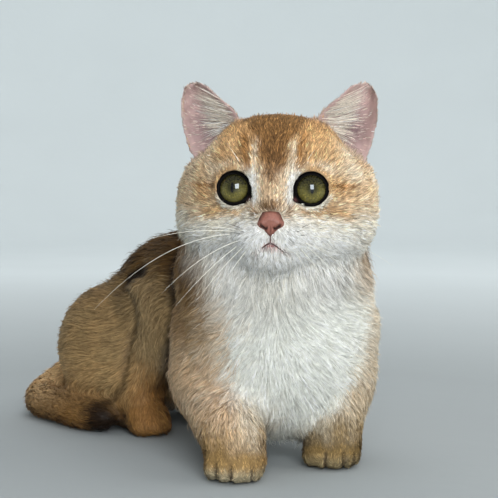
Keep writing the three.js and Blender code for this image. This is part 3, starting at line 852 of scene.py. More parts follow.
    middle_x = p[:, 0] - 54
    wide = np.where(middle_x < 0, 32 - 2 * ramp(30, 75, p[:, 2]), 22 + 13 * ramp(25, 65, p[:, 2]))
    bib = ramp(1.5, 0.5, np.abs(middle_x + 2.5 * drift) / wide) * ramp(-14, -46, p[:, 1])
    top = ramp(0.0, 0.75, n[:, 2]) * ramp(40, 75, p[:, 2])
    rear = ramp(20, 50, (p - THROAT) @ BACKWARD)
    grey = (brown * 0.64 + pale * 0.24) * [1.0, 0.98, 0.74]
    torso = mixed(base, pale, np.clip(0.45 + 0.08 * drift, 0, 1))
    # Darker brown high on the right shoulder: partly darker ticked fur, partly painted shade from the head.
    torso = mixed(torso, brown, 0.8 * ramp(24, 4, p[:, 0]) * ramp(45, 75, p[:, 2]))
    # The rear of the trunk is painted greyer and darker, most on top: partly the darker ticked coat of the back, partly
    # painted shade, as the rear lies away from the light.
    torso = mixed(torso, grey, 0.9 * rear)
    torso = mixed(torso, rich * [0.75, 0.82, 0.6], 0.8 * rear * ramp(74, 90, p[:, 2]))
    torso = mixed(torso, dark, 0.6 * top * rear)
    torso = mixed(torso, warm, 0.75 * rear * ramp(50, 15, p[:, 2]))
    torso = mixed(torso, cream, ramp(-0.3, -0.8, n[:, 2]) * 0.5)
    torso = mixed(torso, cream, 0.75 * np.clip(bib * 1.5, 0, 1))
    torso = mixed(torso, white * [0.95, 0.97, 0.94], ramp(0.30, 0.95, bib))
    # Painted shadow under the chin: the throat, the neck and the chest darker round a point below the chin.
    throat = bell(np.linalg.norm(p - from_head([0.0, -24.0, -42.0]), axis=1), 15.0)[:, None]
    torso, neck = (part * (1 - throat * [0.30, 0.31, 0.38]) for part in (torso, neck))

    inner = np.where(p[:, 0] < HEAD[0], n[:, 0], -n[:, 0])
    left = ramp(HEAD[0] - 6, HEAD[0] + 12, p[:, 0])
    leg = mixed(base, pale, np.clip(0.55 + 0.08 * drift, 0, 1))
    # Darker brown high on the right foreleg: partly darker ticked fur, partly painted shade from the head.
    leg = mixed(leg, brown * 0.9, 0.8 * (1 - left) * ramp(48, 66, p[:, 2]))
    leg = mixed(leg, cream, 0.8 * ramp(-0.15, 0.6, inner) + 0.35 * left * ramp(0.6, -0.15, inner))
    leg = mixed(leg, white, 0.85 * bib * ramp(22, 45, p[:, 2]))
    leg = mixed(leg, brown, 0.4 * ramp(-50, -30, p[:, 1]) * (1 - left))
    paw = mixed(base, brown, np.clip(0.25 + 0.1 * drift + 0.35 * left, 0, 1))
    paw = mixed(paw, pale, 0.6 * ramp(9, 3, p[:, 2]) * (1 - 0.6 * left))
    paw = paw * 1.05 * mixed(np.array([0.78, 0.88, 0.86]), [0.68, 0.80, 0.76], left)
    paw = mixed(paw, dark, 0.15 * ramp(6, 13, p[:, 2]) * ramp(22, 13, p[:, 2]))
    # Painted shade in the gaps between the toes.
    paw = mixed(paw, dark, 0.8 * np.clip(toe_gaps(p), 0, 1))
    leg = leg * mixed(1.0, [0.80, 0.82, 0.80], left)
    foot = ramp(32, 8, p[:, 2] + 2.0 * drift)[:, None]
    paw = leg = leg + (paw - leg) * foot

    haunch = mixed(base, grey, np.clip(0.85 + 0.08 * drift, 0, 1))
    haunch = haunch * (1 + 0.3 * ramp(52, 30, p[:, 2]))[:, None]
    haunch = mixed(haunch, warm * [0.95, 0.85, 0.7], 0.4 * ramp(26, 12, p[:, 2]))
    haunch = mixed(haunch, dark, 0.3 * ramp(0.3, 0.9, n[:, 2]) * ramp(45, 75, p[:, 2]))
    hind = mixed(warm * [0.8, 0.75, 0.6], grey, np.clip(0.35 + 0.1 * drift, 0, 1))
    # Painted shadow between the tip of the tail and the right hind paw.
    hind = mixed(hind, dark, 0.8 * bell(np.linalg.norm((p - [-37, 8, 6]) / [9, 9, 10], axis=1), 1.0))
    _, part, _ = along_line(p, tail_line())
    tail = mixed(base, grey * [1.9, 1.95, 2.2], 0.85)
    tail = mixed(tail, brown * [1.0, 0.9, 0.6], np.clip(0.8 * ramp(0.45, 0.8, part), 0, 1))
    tail = mixed(tail, warm, 0.6 * ramp(14, 6, p[:, 2]))
    tail = mixed(tail, dark * 0.4, 0.98 * ramp(0.82, 0.91, part))

    looks = [head, ear, neck, torso, leg, paw, haunch, hind, tail]
    rgb = sum(w[:, k : k + 1] * look for k, look in enumerate(looks))
    right_side = ramp(-2, 8, (p - middle("torso")) @ RIGHTWARD)
    fold = bell(flank_far(p, "fold"), 9.0) * right_side
    band = mixed(grey * [1.35, 1.38, 1.5], warm * [0.95, 0.82, 0.6], 0.8 * ramp(50, 22, p[:, 2]))
    rgb = mixed(rgb, band, 0.85 * fold)
    pale_part = np.clip(rgb.mean(1) / 0.75, 0, 1)
    ticking = (w @ TICKED) * (1 - pale_part) ** 0.8
    ticking += w[:, Z["head"]] * (0.42 * crown + 0.14 * ramp(4, 14, z) * front)
    return rgb, np.clip(ticking, 0, 0.8)


# ---------------------------------------------------------------------------------------------------------
# Lookup of the skin near any point
class Near:
    """The nearest skin point for places close to the skin: a grid of 2 mm cells, filled outwards from the skin."""

    CELL, MARGIN, STEPS = 2.0, 14.0, 6

    def __init__(self, points):
        self.low = points.min(0) - self.MARGIN
        size = np.ceil((points.max(0) + self.MARGIN - self.low) / self.CELL).astype(int) + 1
        grid = np.full(size, -1, np.int32)
        i, j, k = ((points - self.low) / self.CELL).astype(int).T
        grid[i, j, k] = np.arange(len(points))
        for _ in range(self.STEPS):
            for axis in range(3):
                for way in (1, -1):
                    moved = np.roll(grid, way, axis)
                    grid = np.where(grid < 0, moved, grid)
        self.grid = grid

    def __call__(self, p):
        cell = np.clip(((p - self.low) / self.CELL).astype(int), 0, np.array(self.grid.shape) - 1)
        return np.maximum(self.grid[cell[:, 0], cell[:, 1], cell[:, 2]], 0)


class BuildSkin(bpy.types.Operator):
    """One skin over the whole body: the flesh nodes joined, rebuilt, smoothed and drawn in by the depth of the coat"""

    bl_idname = "kitten.skin"
    bl_label = "Skin"

    def execute(self, context):
        s = context.scene.kitten_coat
        parts, count = [], 0
        for name in FLESH:
            points, tris = copy_of(name)
            points = points + GROWN * normals_of(points, tris)
            parts.append((points, tris + count))
            count += len(points)
        points, tris = rebuilt(np.concatenate([a for a, _ in parts]), np.concatenate([b for _, b in parts]), s.voxel)
        points, tris = largest_shell(points, tris)
        links, degree = edges_of(tris)
        for _ in range(8):
            points = relaxed(points, links, degree, 1, 0.5)
            points = relaxed(points, links, degree, 1, -0.52)
        w = relaxed(zone_weights(points), links, degree, 14)
        soft = np.clip(w[:, [Z["torso"], Z["haunch"], Z["neck"], Z["foreleg"]]].sum(1), 0, 1)[:, None]
        for _ in range(24):
            points = points + (neighbour_mean(points, links, degree) - points) * 0.5 * soft
        depth = relaxed(coat_depth(points, w)[:, None], links, degree, 6)
        thin = w[:, Z["ear"]][:, None] > 0.5
        for _ in range(5):
            n = normals_of(points, tris)
            n = relaxed(n, links, degree, 2)
            points = points - unit(n) * depth / 5
            points = np.where(thin, points, relaxed(points, links, degree, 1, 0.25))
        BODY["front_tree"] = BVHTree.FromPolygons(points.tolist(), tris.tolist())
        points = self.pressed(points, unit(normals_of(points, tris)), w)
        n = normals_of(points, tris)
        flow = lie_of_coat(points, unit(relaxed(n, links, degree, 3)), w)
        for _ in range(8):
            flow = relaxed(flow, links, degree, 1, 0.6)
            flow = unit(flow - (flow * n).sum(1, keepdims=True) * n)
        BODY.update(points=points, tris=tris, normal=n, flow=flow, weight=w)
        BODY["soft_normal"] = unit(relaxed(n, links, degree, 4))
        BODY["near"] = Near(points)
        rgb, _ = markings_and_painted_shade(points, n, w)
        # Painted shade in the folds of the right flank.
        rgb = mixed(rgb, np.array(s.dark[:]) * 0.2, flank_shade(points))
        pink = np.array(context.scene.kitten_face.ear_skin[:])
        q = to_head(points)
        # Painted shade deep in the cup of each ear: the pink darker at its lower middle.
        hollow = bell(np.hypot((np.abs(q[:, 0]) - 35) / 8, (q[:, 2] - 31) / 9), 1.0)
        pink = mixed(pink, pink * [0.36, 0.31, 0.36], 0.85 * hollow)
        rgb = mixed(rgb * 0.8, pink, cup_of_ear(n, w))
        mottle, bump = (300.0, 4.0, 0.8, 1.1), (1600.0, 3.0, 0.35, 0.0006)
        mat = painted_material("skin_under_coat", 0.75, mottle, bump, Specular_IOR_Level=0.2)
        obj = piece("skin", points, tris, mat)
        paint(obj, rgb)
        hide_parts(*[name for name in FLESH if name != "nose"])
        return {"FINISHED"}

    def pressed(self, points, n, w):
        """The skin pressed in where something lies on it or it folds: under the rims of the lids down to the ball,
        behind the nose leather, between the toes, round the soles, and along the folds of the right flank."""
        for side, centre in EYE_MIDDLE.items():
            look = HEAD_AXES @ LOOK[side]
            off = points - centre
            along = off @ look
            flat = np.linalg.norm(off - along[:, None] * look, axis=1)
            past = flat - rim_out(angle_round(side, HEAD_AXES.T @ off.T))
            most = np.sqrt(np.maximum((EYE_BALL - 1.0) ** 2 - flat**2, 0)) + 12 * ramp(-0.6, 0.5, past)
            over = (past < 0.5) & (along > most)
            points = points - np.where(over, along - most, 0)[:, None] * look
        q = to_head(points)
        half = np.interp(-q[:, 2], NOSE_DOWN, NOSE_HALF, left=0, right=0) + 1e-6
        behind = ramp(1.02, 0.75, np.abs(q[:, 0]) / half) * (q[:, 1] < -33)
        points = points + (2.6 * behind)[:, None] * BACK
        gap = toe_gaps(points)
        points = points - n * (1.5 * gap)[:, None]
        sole = (w[:, Z["forepaw"]] + w[:, Z["hindpaw"]]) * np.clip(1 - points[:, 2] / 5, 0, 1) ** 2
        points = points - n * [1, 1, 0] * (2.2 * sole)[:, None]
        for name, wide, deep in (("thigh_edge", 3.0, 2.4), ("gap", 4.6, 5.4), ("hollow", 3.8, 5.2)):
            points = points - n * (deep * bell(flank_far(points, name), wide))[:, None]
        points = points + n * (1.2 * bell(flank_far(points, "fold"), 6.0) * ramp(20, 45, points[:, 2]))[:, None]
        points[:, 2] = np.maximum(points[:, 2], 0.5)
        return points


# ---------------------------------------------------------------------------------------------------------
# Coat
def clump_pull(root, size, seed):
    """From each root to the middle of its clump: the nearest of seeded points, one in each cell of a grid."""
    base = np.floor(root / size).astype(np.int64)
    best = np.full(len(root), 1e9)
    pull = np.zeros_like(root)
    number = np.zeros(len(root))
    for dx in (-1, 0, 1):
        for dy in (-1, 0, 1):
            for dz in (-1, 0, 1):
                cell = base + [dx, dy, dz]
                key = cell @ np.array([73856093, 19349663, 83492791]) + seed * 7919
                jitter = np.stack([((key * m) % 10007) / 10007 for m in (48271, 16807, 69621)], 1)
                off = (cell + 0.15 + 0.7 * jitter) * size - root
                far = (off**2).sum(1)
                near = far < best
                best[near] = far[near]
                pull[near] = off[near]
                number[near] = ((key * 30269) % 9973 / 9973)[near]
    return pull, number


def spherical(p, centre, pole):
    """Place on a ball round a centre: turn about the pole, and height towards it, both from 0 to 1."""
    pole = unit(pole)
    side = unit(np.cross(pole, [0.31, 0.95, 0.07]))
    over = np.cross(pole, side)
    d = unit(p - centre)
    u = np.arctan2(d @ over, d @ side) / (2 * np.pi) + 0.5
    return np.stack([u, np.arcsin(np.clip(d @ pole, -1, 1)) / np.pi + 0.5], 1)


def tiled(uv, tile, tiles):
    """An unwrap moved into one of several tiles side by side, with a margin."""
    return np.stack([(tile + 0.02 + 0.96 * uv[:, 0]) / tiles, 0.02 + 0.96 * uv[:, 1]], 1)


# The share of the tufts that stand out from the coat, another share of them all, and the size of the patch that each
# tuft has in the UV map.
STRAY, QUICK, PATCH = 0.04, 0.12, 0.003


def grow(name, faces, count, steps, width, mat, chart, long, clump, lift, seed):
    """Tufts over part of the skin. Each is a thin tapering strip: its middle line starts at a random root, follows the
    lie of the coat while its angle to the skin falls from root to tip, and bends towards the middle of its clump."""
    s = bpy.context.scene.kitten_coat
    rng = np.random.default_rng(s.seed + seed)
    P, W = BODY["points"], BODY["weight"]
    tris = BODY["tris"][faces]
    a, b, c = (P[tris[:, k]] for k in range(3))
    area = np.linalg.norm(np.cross(b - a, c - a), axis=1) / 2
    chance = area * BODY["sown"][faces]
    count = int(count * s.density * (1.0))
    pick = rng.choice(len(tris), count, p=chance / chance.sum())
    u, v = rng.random((2, count))
    over = u + v > 1
    u, v = np.where(over, 1 - u, u), np.where(over, 1 - v, v)
    bary = np.stack([1 - u - v, u, v], 1)
    corner = tris[pick]

    def at(field):
        return (field[corner] * bary[..., None]).sum(1)

    root, w = at(P), at(W)
    normal, flow = unit(at(BODY["soft_normal"])), unit(at(BODY["flow"]))
    span = coat_length(root, w) * long * s.hair_length * rng.uniform(0.75, 1.2, count)
    pull, number = clump_pull(root, clump[0], seed)
    span *= 0.9 + 0.2 * number
    sway = (number - 0.5) * 0.5 + 0.25 * ripple(root, 9.0, seed + 5) + rng.normal(0, 0.10, count)
    wild = rng.random(count) < STRAY
    raised = lift * rng.uniform(0.8, 1.2, count) * np.where(wild, 1.7, 1.0)

    spread = (w @ SPREAD)[:, None]
    rgb, ticking = markings_and_painted_shade(root + flow * (0.4 * span)[:, None] + spread * rng.normal(0, 1, root.shape), normal, w)
    dark = np.array(s.dark[:])
    tick = rng.random(count) < ticking
    contrast = w @ CONTRAST
    _, strand = clump_pull(root, clump[0] * 0.5, seed + 40)
    depth = contrast * (0.36 * (number - 0.5) + 0.62 * (strand - 0.51) + rng.normal(0, 0.26, count))
    depth = depth * (1 - 0.5 * np.clip(rgb.min(1), 0, 1))
    rgb = rgb * np.exp(depth)[:, None]
    # Roots darker and greyer than the tips, and plain tips a little lighter: partly the real undercoat, partly painted
    # shade deep in the coat.
    tip = np.where(tick[:, None], rgb * 0.35 + dark * 0.3, rgb * 1.03)
    undercoat_and_root_shade = rgb * np.array([0.66, 0.60, 0.53])

    angle = np.radians(np.linspace(40, 4, steps))
    line = [root - 0.4 * normal]
    frames = []
    for k in range(steps):
        i = BODY["near"](line[-1])
        t, n = BODY["flow"][i], BODY["soft_normal"][i]
        aside = np.cross(n, t)
        turn = sway * (0.4 + 0.6 * k / steps)
        t = t * np.cos(turn)[:, None] + aside * np.sin(turn)[:, None]
        lean = np.clip(angle[k] * raised, -0.2, 1.25)
        way = t * np.cos(lean)[:, None] + n * np.sin(lean)[:, None]
        step = way * (span / steps)[:, None]
        bend = pull - (pull * n).sum(1, keepdims=True) * n
        step = step + bend * clump[1] * ((k + 1) / steps) ** 1.3 / steps
        line.append(line[-1] + step)
        frames.append((unit(step), n))
    line = np.stack(line, 1)
    line[..., 2] = np.maximum(line[..., 2], 0.15)
    # The strip lies flat to the skin, turned a little about its own line.
    roll = rng.normal(0, 0.45, count)
    wide = rng.uniform(*width, count) * s.hair_width / 2
    taper = np.linspace(1.0, 0.0, steps + 1) ** 0.6
    taper[0] = 0.7
    rows_of, normals, colours, places = [], [], [], []
    by_flank = np.linalg.norm(root - middle("haunch_right") - [25, -40, 20], axis=1) < 75
    uv = chart(root)
    for k in range(steps + 1):
        run, n = frames[min(k, steps - 1)]
        flat = unit(np.cross(n, run))
        face = np.cross(run, flat)
        aside = flat * np.cos(roll)[:, None] + face * np.sin(roll)[:, None]
        share_up = k / steps
        shade = undercoat_and_root_shade + (rgb - undercoat_and_root_shade) * min(1.0, share_up * 1.7)
        if k == steps:
            shade = tip
        elif k == steps - 1:
            shade = shade + (tip - shade) * 0.45
        # Painted shade in the folds of the right flank, on each row of the tufts.
        if by_flank.any():
            shade = shade.copy()
            shade[by_flank] = mixed(shade[by_flank], dark * 0.3, flank_shade(line[by_flank, k]))
        own = unit(np.cross(run, aside))
        own *= np.sign((own * n).sum(1, keepdims=True) + 1e-9)
        soft = unit(n * 0.65 + own * 0.35)
        if k < steps:
            for way in (1, -1):
                rows_of.append(line[:, k] + aside * (wide * taper[k] * way)[:, None])
                normals.append(unit(soft + aside * 0.25 * way))
                colours.append(shade)
                places.append(uv + PATCH * np.array([way * 0.5 * taper[k], share_up - 0.5]))
        else:
            rows_of.append(line[:, k])
            normals.append(soft)
            colours.append(shade)
            places.append(uv + PATCH * np.array([0.0, 0.5]))
    obj = piece(name, np.stack(rows_of, 1).reshape(-1, 3), strip_faces(steps, count), mat)
    paint(obj, np.stack(colours, 1).reshape(-1, 3))
    unwrap(obj, np.clip(np.stack(places, 1).reshape(-1, 2), 0, 1))
    set_normals(obj, np.stack(normals, 1).reshape(-1, 3))


def middles():
    """The middles of the skin's triangles, in the whole frame and from the head, with their normals and weights."""
    P, T, N, W = (BODY[key] for key in ("points", "tris", "normal", "weight"))
    centre = P[T].mean(1)
    return centre, to_head(centre), unit(N[T].mean(1)), W[T].mean(1)


def sow():
    """Where the coat grows: its density against the full one is kept for each triangle of the skin. Returns the middle
    of each triangle, in the whole frame and from the head, and its zone."""
    centre, q, n, w = middles()
    sown = np.ones(len(centre))
    sown[(past_rim(q) < -0.15) & (q[:, 1] < -20)] = 0
    sown[in_nose(q[:, 0], q[:, 2]) & (q[:, 1] < -34)] = 0
    sown *= 1 - ramp(0.3, 0.7, cup_of_ear(n, w))
    sown *= 1 - 0.55 * ramp(-0.45, -0.85, n[:, 2])
    sown[centre[:, 2] < 0.9] = 0
    BODY["sown"] = sown
    return centre, q, w.argmax(1)


def in_nose(x, z):
    """Whether places of the face lie on the nose leather: inside its outline of half width over height."""
    half = np.interp(-z, NOSE_DOWN, NOSE_HALF, left=0, right=0)
    return np.abs(x) < half


# The line of the mouth: how far out from the middle, and how far down from the eyes, in millimetres.
MOUTH_OUT = np.array([0.0, 2.0, 4.2, 6.0, 7.6])
MOUTH_DOWN = np.array([24.2, 25.2, 26.9, 28.2, 29.0])

# Outline of the nose leather: how far down from the eyes, and the half width there, in millimetres.
NOSE_DOWN = np.array([10.2, 10.6, 11.8, 13.4, 15.0, 16.2, 17.1, 18.0, 19.2, 20.4, 21.4])
NOSE_HALF = np.array([0.0, 3.6, 4.5, 5.2, 5.9, 5.9, 5.1, 3.4, 2.1, 1.1, 0.0])


class GrowCoat(bpy.types.Operator):
    """The coat: ten pieces of thin tapering tufts that follow the lie of the hair"""

    bl_idname = "kitten.coat"
    bl_label = "Coat"

    def execute(self, context):
        centre, q, zone = sow()
        fur = coat_material("golden_fur", 0.62, 0.04)

        def on(*names):
            return np.isin(zone, [Z[name] for name in names])

        head, ear, trunk = on("head"), on("ear"), on("torso", "neck")
        legs, haunch, feet = on("foreleg", "forepaw"), on("haunch"), on("hindpaw", "tail")
        face = head & (q[:, 1] < -3)
        chest = trunk & (centre[:, 1] < middle("torso")[1] - 38)
        over = (centre - middle("haunch_left", "haunch_right")) @ RIGHTWARD > 0
        left, right = middle("foreleg_left", "forepaw_left"), middle("foreleg_right", "forepaw_right")

        def around(one, pole):
            return lambda p: tiled(spherical(p, one, pole), 0, 1)

        def by_side(one, other, pole):
            def chart(p):
                near = np.linalg.norm(p - one, axis=1) < np.linalg.norm(p - other, axis=1)
                first, second = tiled(spherical(p, one, pole), 0, 2), tiled(spherical(p, other, pole), 1, 2)
                return np.where(near[:, None], first, second)

            return chart

        def round_tail(p):
            _, part, far = along_line(p, tail_line())
            paw = spherical(p, middle("hindpaw_right"), [0, 0, 1])
            turn = np.arctan2(p[:, 2] - 9, (p - middle("torso")) @ RIGHTWARD - 30) / (2 * np.pi) + 0.5
            tail = np.stack([turn, part], 1)
            return np.where((far > 16)[:, None], tiled(paw, 0, 2), tiled(tail, 1, 2))

        round_head, round_body = around(INNER_HEAD, BACK), around(middle("torso"), BACKWARD)
        round_chest = around(middle("neck", "torso") * [1, 0, 0.9] + [12, -36, 0], [0, 1, 0])
        round_haunch = by_side(middle("haunch_left"), middle("haunch_right"), RIGHTWARD)
        chest_side = centre[:, 0] < middle("neck")[0] + 6
        # Name, where, tufts, steps of each, narrowest and widest in millimetres, UV map, length against the zone's,
        # size of the clumps in millimetres and how far tufts bend into them, and how steeply they leave the skin.
        make = [
            ("coat_face_right", face & (q[:, 0] < 0), 42000, 2, (0.26, 0.46), round_head, 1.05, (1.5, 0.35), 1.05),
            ("coat_face_left", face & (q[:, 0] >= 0), 42000, 2, (0.26, 0.46), round_head, 1.05, (1.5, 0.35), 1.05),
            ("coat_crown", (head & ~face) | ear, 28000, 3, (0.34, 0.60), round_head, 1.2, (2.2, 0.35), 1.0),
            ("coat_chest_right", chest & chest_side, 29000, 3, (0.26, 0.50), round_chest, 1.1, (3.2, 0.45), 1.0),
            ("coat_chest_left", chest & ~chest_side, 29000, 3, (0.26, 0.50), round_chest, 1.1, (3.2, 0.45), 1.0),
            ("coat_flank_right", trunk & ~chest & over, 33000, 3, (0.38, 0.70), round_body, 1.0, (3.0, 0.4), 0.9),
            ("coat_flank_left", trunk & ~chest & ~over, 24000, 3, (0.50, 0.90), round_body, 1.0, (3.4, 0.4), 0.9),
            ("coat_haunches", haunch, 35000, 3, (0.38, 0.66), round_haunch, 0.95, (2.6, 0.28), 0.7),
            ("coat_forelegs", legs, 38500, 3, (0.30, 0.56), by_side(left, right, [0, 0, 1]), 0.95, (2.4, 0.38), 0.95),
            ("coat_tail_and_feet", feet, 25000, 3, (0.36, 0.66), round_tail, 1.0, (2.0, 0.18), 0.65),
        ]
        for k, (name, where, count, steps, width, chart, long, clump, lift) in enumerate(make):
            faces = np.flatnonzero(where & (BODY["sown"] > 0.01))
            grow(name, faces, count, steps, width, fur, chart, long, clump, lift, 20 + k)
        return {"FINISHED"}


# ---------------------------------------------------------------------------------------------------------
# Eyes
class BuildEyes(bpy.types.Operator):
    """Both eyeballs, with iris, slit pupil and a bulging clear front, and the dark rims of the lids"""

    bl_idname = "kitten.eyes"
    bl_label = "Eyes"

    def execute(self, context):
        s = context.scene.kitten_face
        glass = {"Coat_Weight": 1.0, "Coat_Roughness": 0.03, "Coat_IOR": 1.45, "Specular_IOR_Level": 0.03}
        ball = painted_material("eye_glass", 0.45, (1500.0, 2.0, 0.85, 1.15), **glass)
        mottle, bump = (2200.0, 3.0, 0.7, 1.2), (3000.0, 3.0, 0.4, 0.0003)
        lid = painted_material("lid_skin", 0.7, mottle, bump, Specular_IOR_Level=0.06)
        for side, sign in SIDES:
            self.ball(side, sign, ball, s)
            self.rim(side, sign, lid, s)
        return {"FINISHED"}

    def ball(self, side, sign, mat, s):
        """The ball: rings of points from the front pole to the back. Its front bulges as the cornea does: the radius
        grows by 0.65 mm times a bell of the angle. The colour comes from the angle round and the distance out."""
        across, up, look = eye_axes(side)
        rows, front_rows, columns = 90, 70, 144
        theta = np.concatenate(
            [np.linspace(0.012, 0.95, front_rows), np.linspace(1.0, np.pi - 0.05, rows - front_rows)]
        )
        phi = np.arange(columns) / columns * 2 * np.pi
        th, ph = np.meshgrid(theta, phi, indexing="ij")
        far = (EYE_BALL - 0.05) + 0.65 * np.exp(-((th / 0.55) ** 2))
        flat = np.sin(th) * far
        q = (
            eye_at(sign)
            + (flat * np.cos(ph))[..., None] * across
            + (flat * np.sin(ph))[..., None] * up
            + (np.cos(th) * far)[..., None] * look
        ).reshape(-1, 3)
        caps = eye_at(sign) + np.array([[EYE_BALL + 0.6], [-(EYE_BALL - 0.05)]]) * look
        points = from_head(np.concatenate([q, caps]))
        r = (flat / (s.opening / MM)).ravel()
        a = ph.ravel()
        x, z = r * np.cos(a), r * np.sin(a)
        iris, deep = np.array(s.iris[:]), np.array(s.iris_deep[:])
        rng = np.random.default_rng(5 if sign > 0 else 6)
        waves = sum(
            np.sin(a * k + rng.uniform(0, 6.3) + 2.2 * np.sin(r * rng.uniform(4, 11) + k)) / 5
            for k in (13, 19, 29, 41, 53)
        )
        crumbs = ripple(points[:-2], 1.1, 17 if sign > 0 else 18)
        rgb = mixed(iris * 1.15, deep, np.clip(0.42 + 1.2 * waves + 0.28 * crumbs, 0, 1))
        rgb = mixed(rgb, deep, 0.85 * bell(r - 0.20, 0.22))
        # The pale fibres brightened in the lower half of the iris: painted light.
        bright = bell(r - 0.64, 0.26) * np.clip(0.25 + waves + 0.35 * crumbs, 0, 1) * ramp(0.4, -0.5, z)
        rgb = mixed(rgb, iris * [2.3, 2.2, 1.7], bright)
        # The upper part of the iris darkened: painted shadow of the upper lid.
        rgb = mixed(rgb, deep * 0.35, 0.85 * ramp(0.0, 0.85, z + 0.25 * r))
        rgb = mixed(rgb, [0.004, 0.003, 0.002], ramp(0.90, 1.03, r))
        slit = np.abs(x) / (0.10 * np.sqrt(np.clip(1 - (z / 0.36) ** 2, 1e-4, 1)))
        pupil = ramp(1.5, 0.7, slit) * (np.abs(z) < 0.36)
        rgb = mixed(rgb, [0.002, 0.002, 0.002], pupil)
        rgb = np.concatenate([rgb, [[0.002] * 3, [0.003] * 3]])
        faces = capped(rows, columns)
        obj = piece("eyeball_" + side, points, faces, mat)
        if (normals_of(points, faces)[0] @ (points[0] - points[: rows * columns].mean(0))) < 0:
            obj.data.flip_normals()
        paint(obj, rgb)
        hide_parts("eye_" + side)

    def skin_height(self, at, look):
        """How far out along the line of sight the skin lies at a place beside the eye."""
        start, way = from_head(at + 25 * look), HEAD_AXES @ look
        hit = BODY["front_tree"].ray_cast(Vector(start.tolist()), Vector((-way).tolist()))
        return 25 - hit[3] if hit[0] is not None else 4.0

    def rim(self, side, sign, mat, s):
        """The rim of the lids: a soft roll round the opening, wider and drawn down towards the inner corner. Each slice
        is a closed curve from the ball out to the skin; slices follow the angle round the line of sight."""
        across, up, look = eye_axes(side)
        slices, around = 144, 16
        phi = np.arange(slices) / slices * 2 * np.pi
        gap = (phi - CORNER_AT + np.pi) % (2 * np.pi) - np.pi
        corner = bell(gap, 0.26)
        inside = s.opening / MM + 0.4 * corner - 0.3 * np.clip(np.sin(phi), 0, 1)
        outside = rim_out(phi)
        t = np.arange(around) / around * 2 * np.pi
        middle_r, half = (inside + outside) / 2, (outside - inside) / 2
        r = middle_r[:, None] + half[:, None] * np.cos(t)
        on_ball = np.sqrt(np.clip(EYE_BALL**2 - np.minimum(r, EYE_BALL - 0.4) ** 2, 0, None)) + 0.1
        drop = ramp(0, 1, (r - inside[:, None]) / (outside - inside)[:, None])
        centre = eye_at(sign)
        brim = (outside + 0.5)[:, None] * (np.cos(phi)[:, None] * across + np.sin(phi)[:, None] * up)
        edge = np.array([self.skin_height(centre + b, look) for b in brim])
        edge = np.convolve(np.concatenate([edge[-6:], edge, edge[:6]]), np.ones(13) / 13, "valid")[:, None]
        height = on_ball * (1 - drop) + (edge + 0.25) * drop
        height = height + 0.3 * np.maximum(np.sin(t), 0) ** 0.8 - 1.4 * np.maximum(-np.sin(t), 0)
        q = (
            centre
            + (r * np.cos(phi)[:, None])[..., None] * across
            + (r * np.sin(phi)[:, None])[..., None] * up
            + height[..., None] * look
        )
        points = from_head(q.reshape(-1, 3))
        i, j = np.meshgrid(np.arange(slices), np.arange(around), indexing="ij")
        ni, nj = (i + 1) % slices, (j + 1) % around
        quads = np.stack([i * around + j, ni * around + j, ni * around + nj, i * around + nj], -1).reshape(-1, 4)
        faces = as_tris(quads)
        n = normals_of(points, faces)
        across_rim = (np.cos(t) + 1) / 2
        pink = np.tile(ramp(0.2, 0.7, across_rim) * ramp(1.0, 0.8, across_rim), slices)
        rgb = mixed(np.array(s.lid[:]), np.array(s.lip[:]) * 0.6, 0.6 * np.repeat(bell(gap, 0.12), around) * pink)
        core = q.mean(1, keepdims=True)
        outward = ((q - core).reshape(-1, 3) @ HEAD_AXES.T * n).sum()
        obj = piece("lids_" + side, points, faces if outward > 0 else faces[:, ::-1], mat)
        paint(obj, rgb)


# ---------------------------------------------------------------------------------------------------------
# Nose and mouth
def skin_front(x, z):
    """How far forward the skin lies at places of the face, as the head's own y."""
    out = []
    way = Vector((HEAD_AXES @ [0, 1, 0]).tolist())
    for a, b in zip(np.ravel(x), np.ravel(z)):
        start = Vector(from_head([a, -80.0, b]).tolist())
        hit = BODY["front_tree"].ray_cast(start, way)
        out.append(to_head(np.array(hit[0]))[1] if hit[0] is not None else -35.0)
    return np.array(out).reshape(np.shape(x))


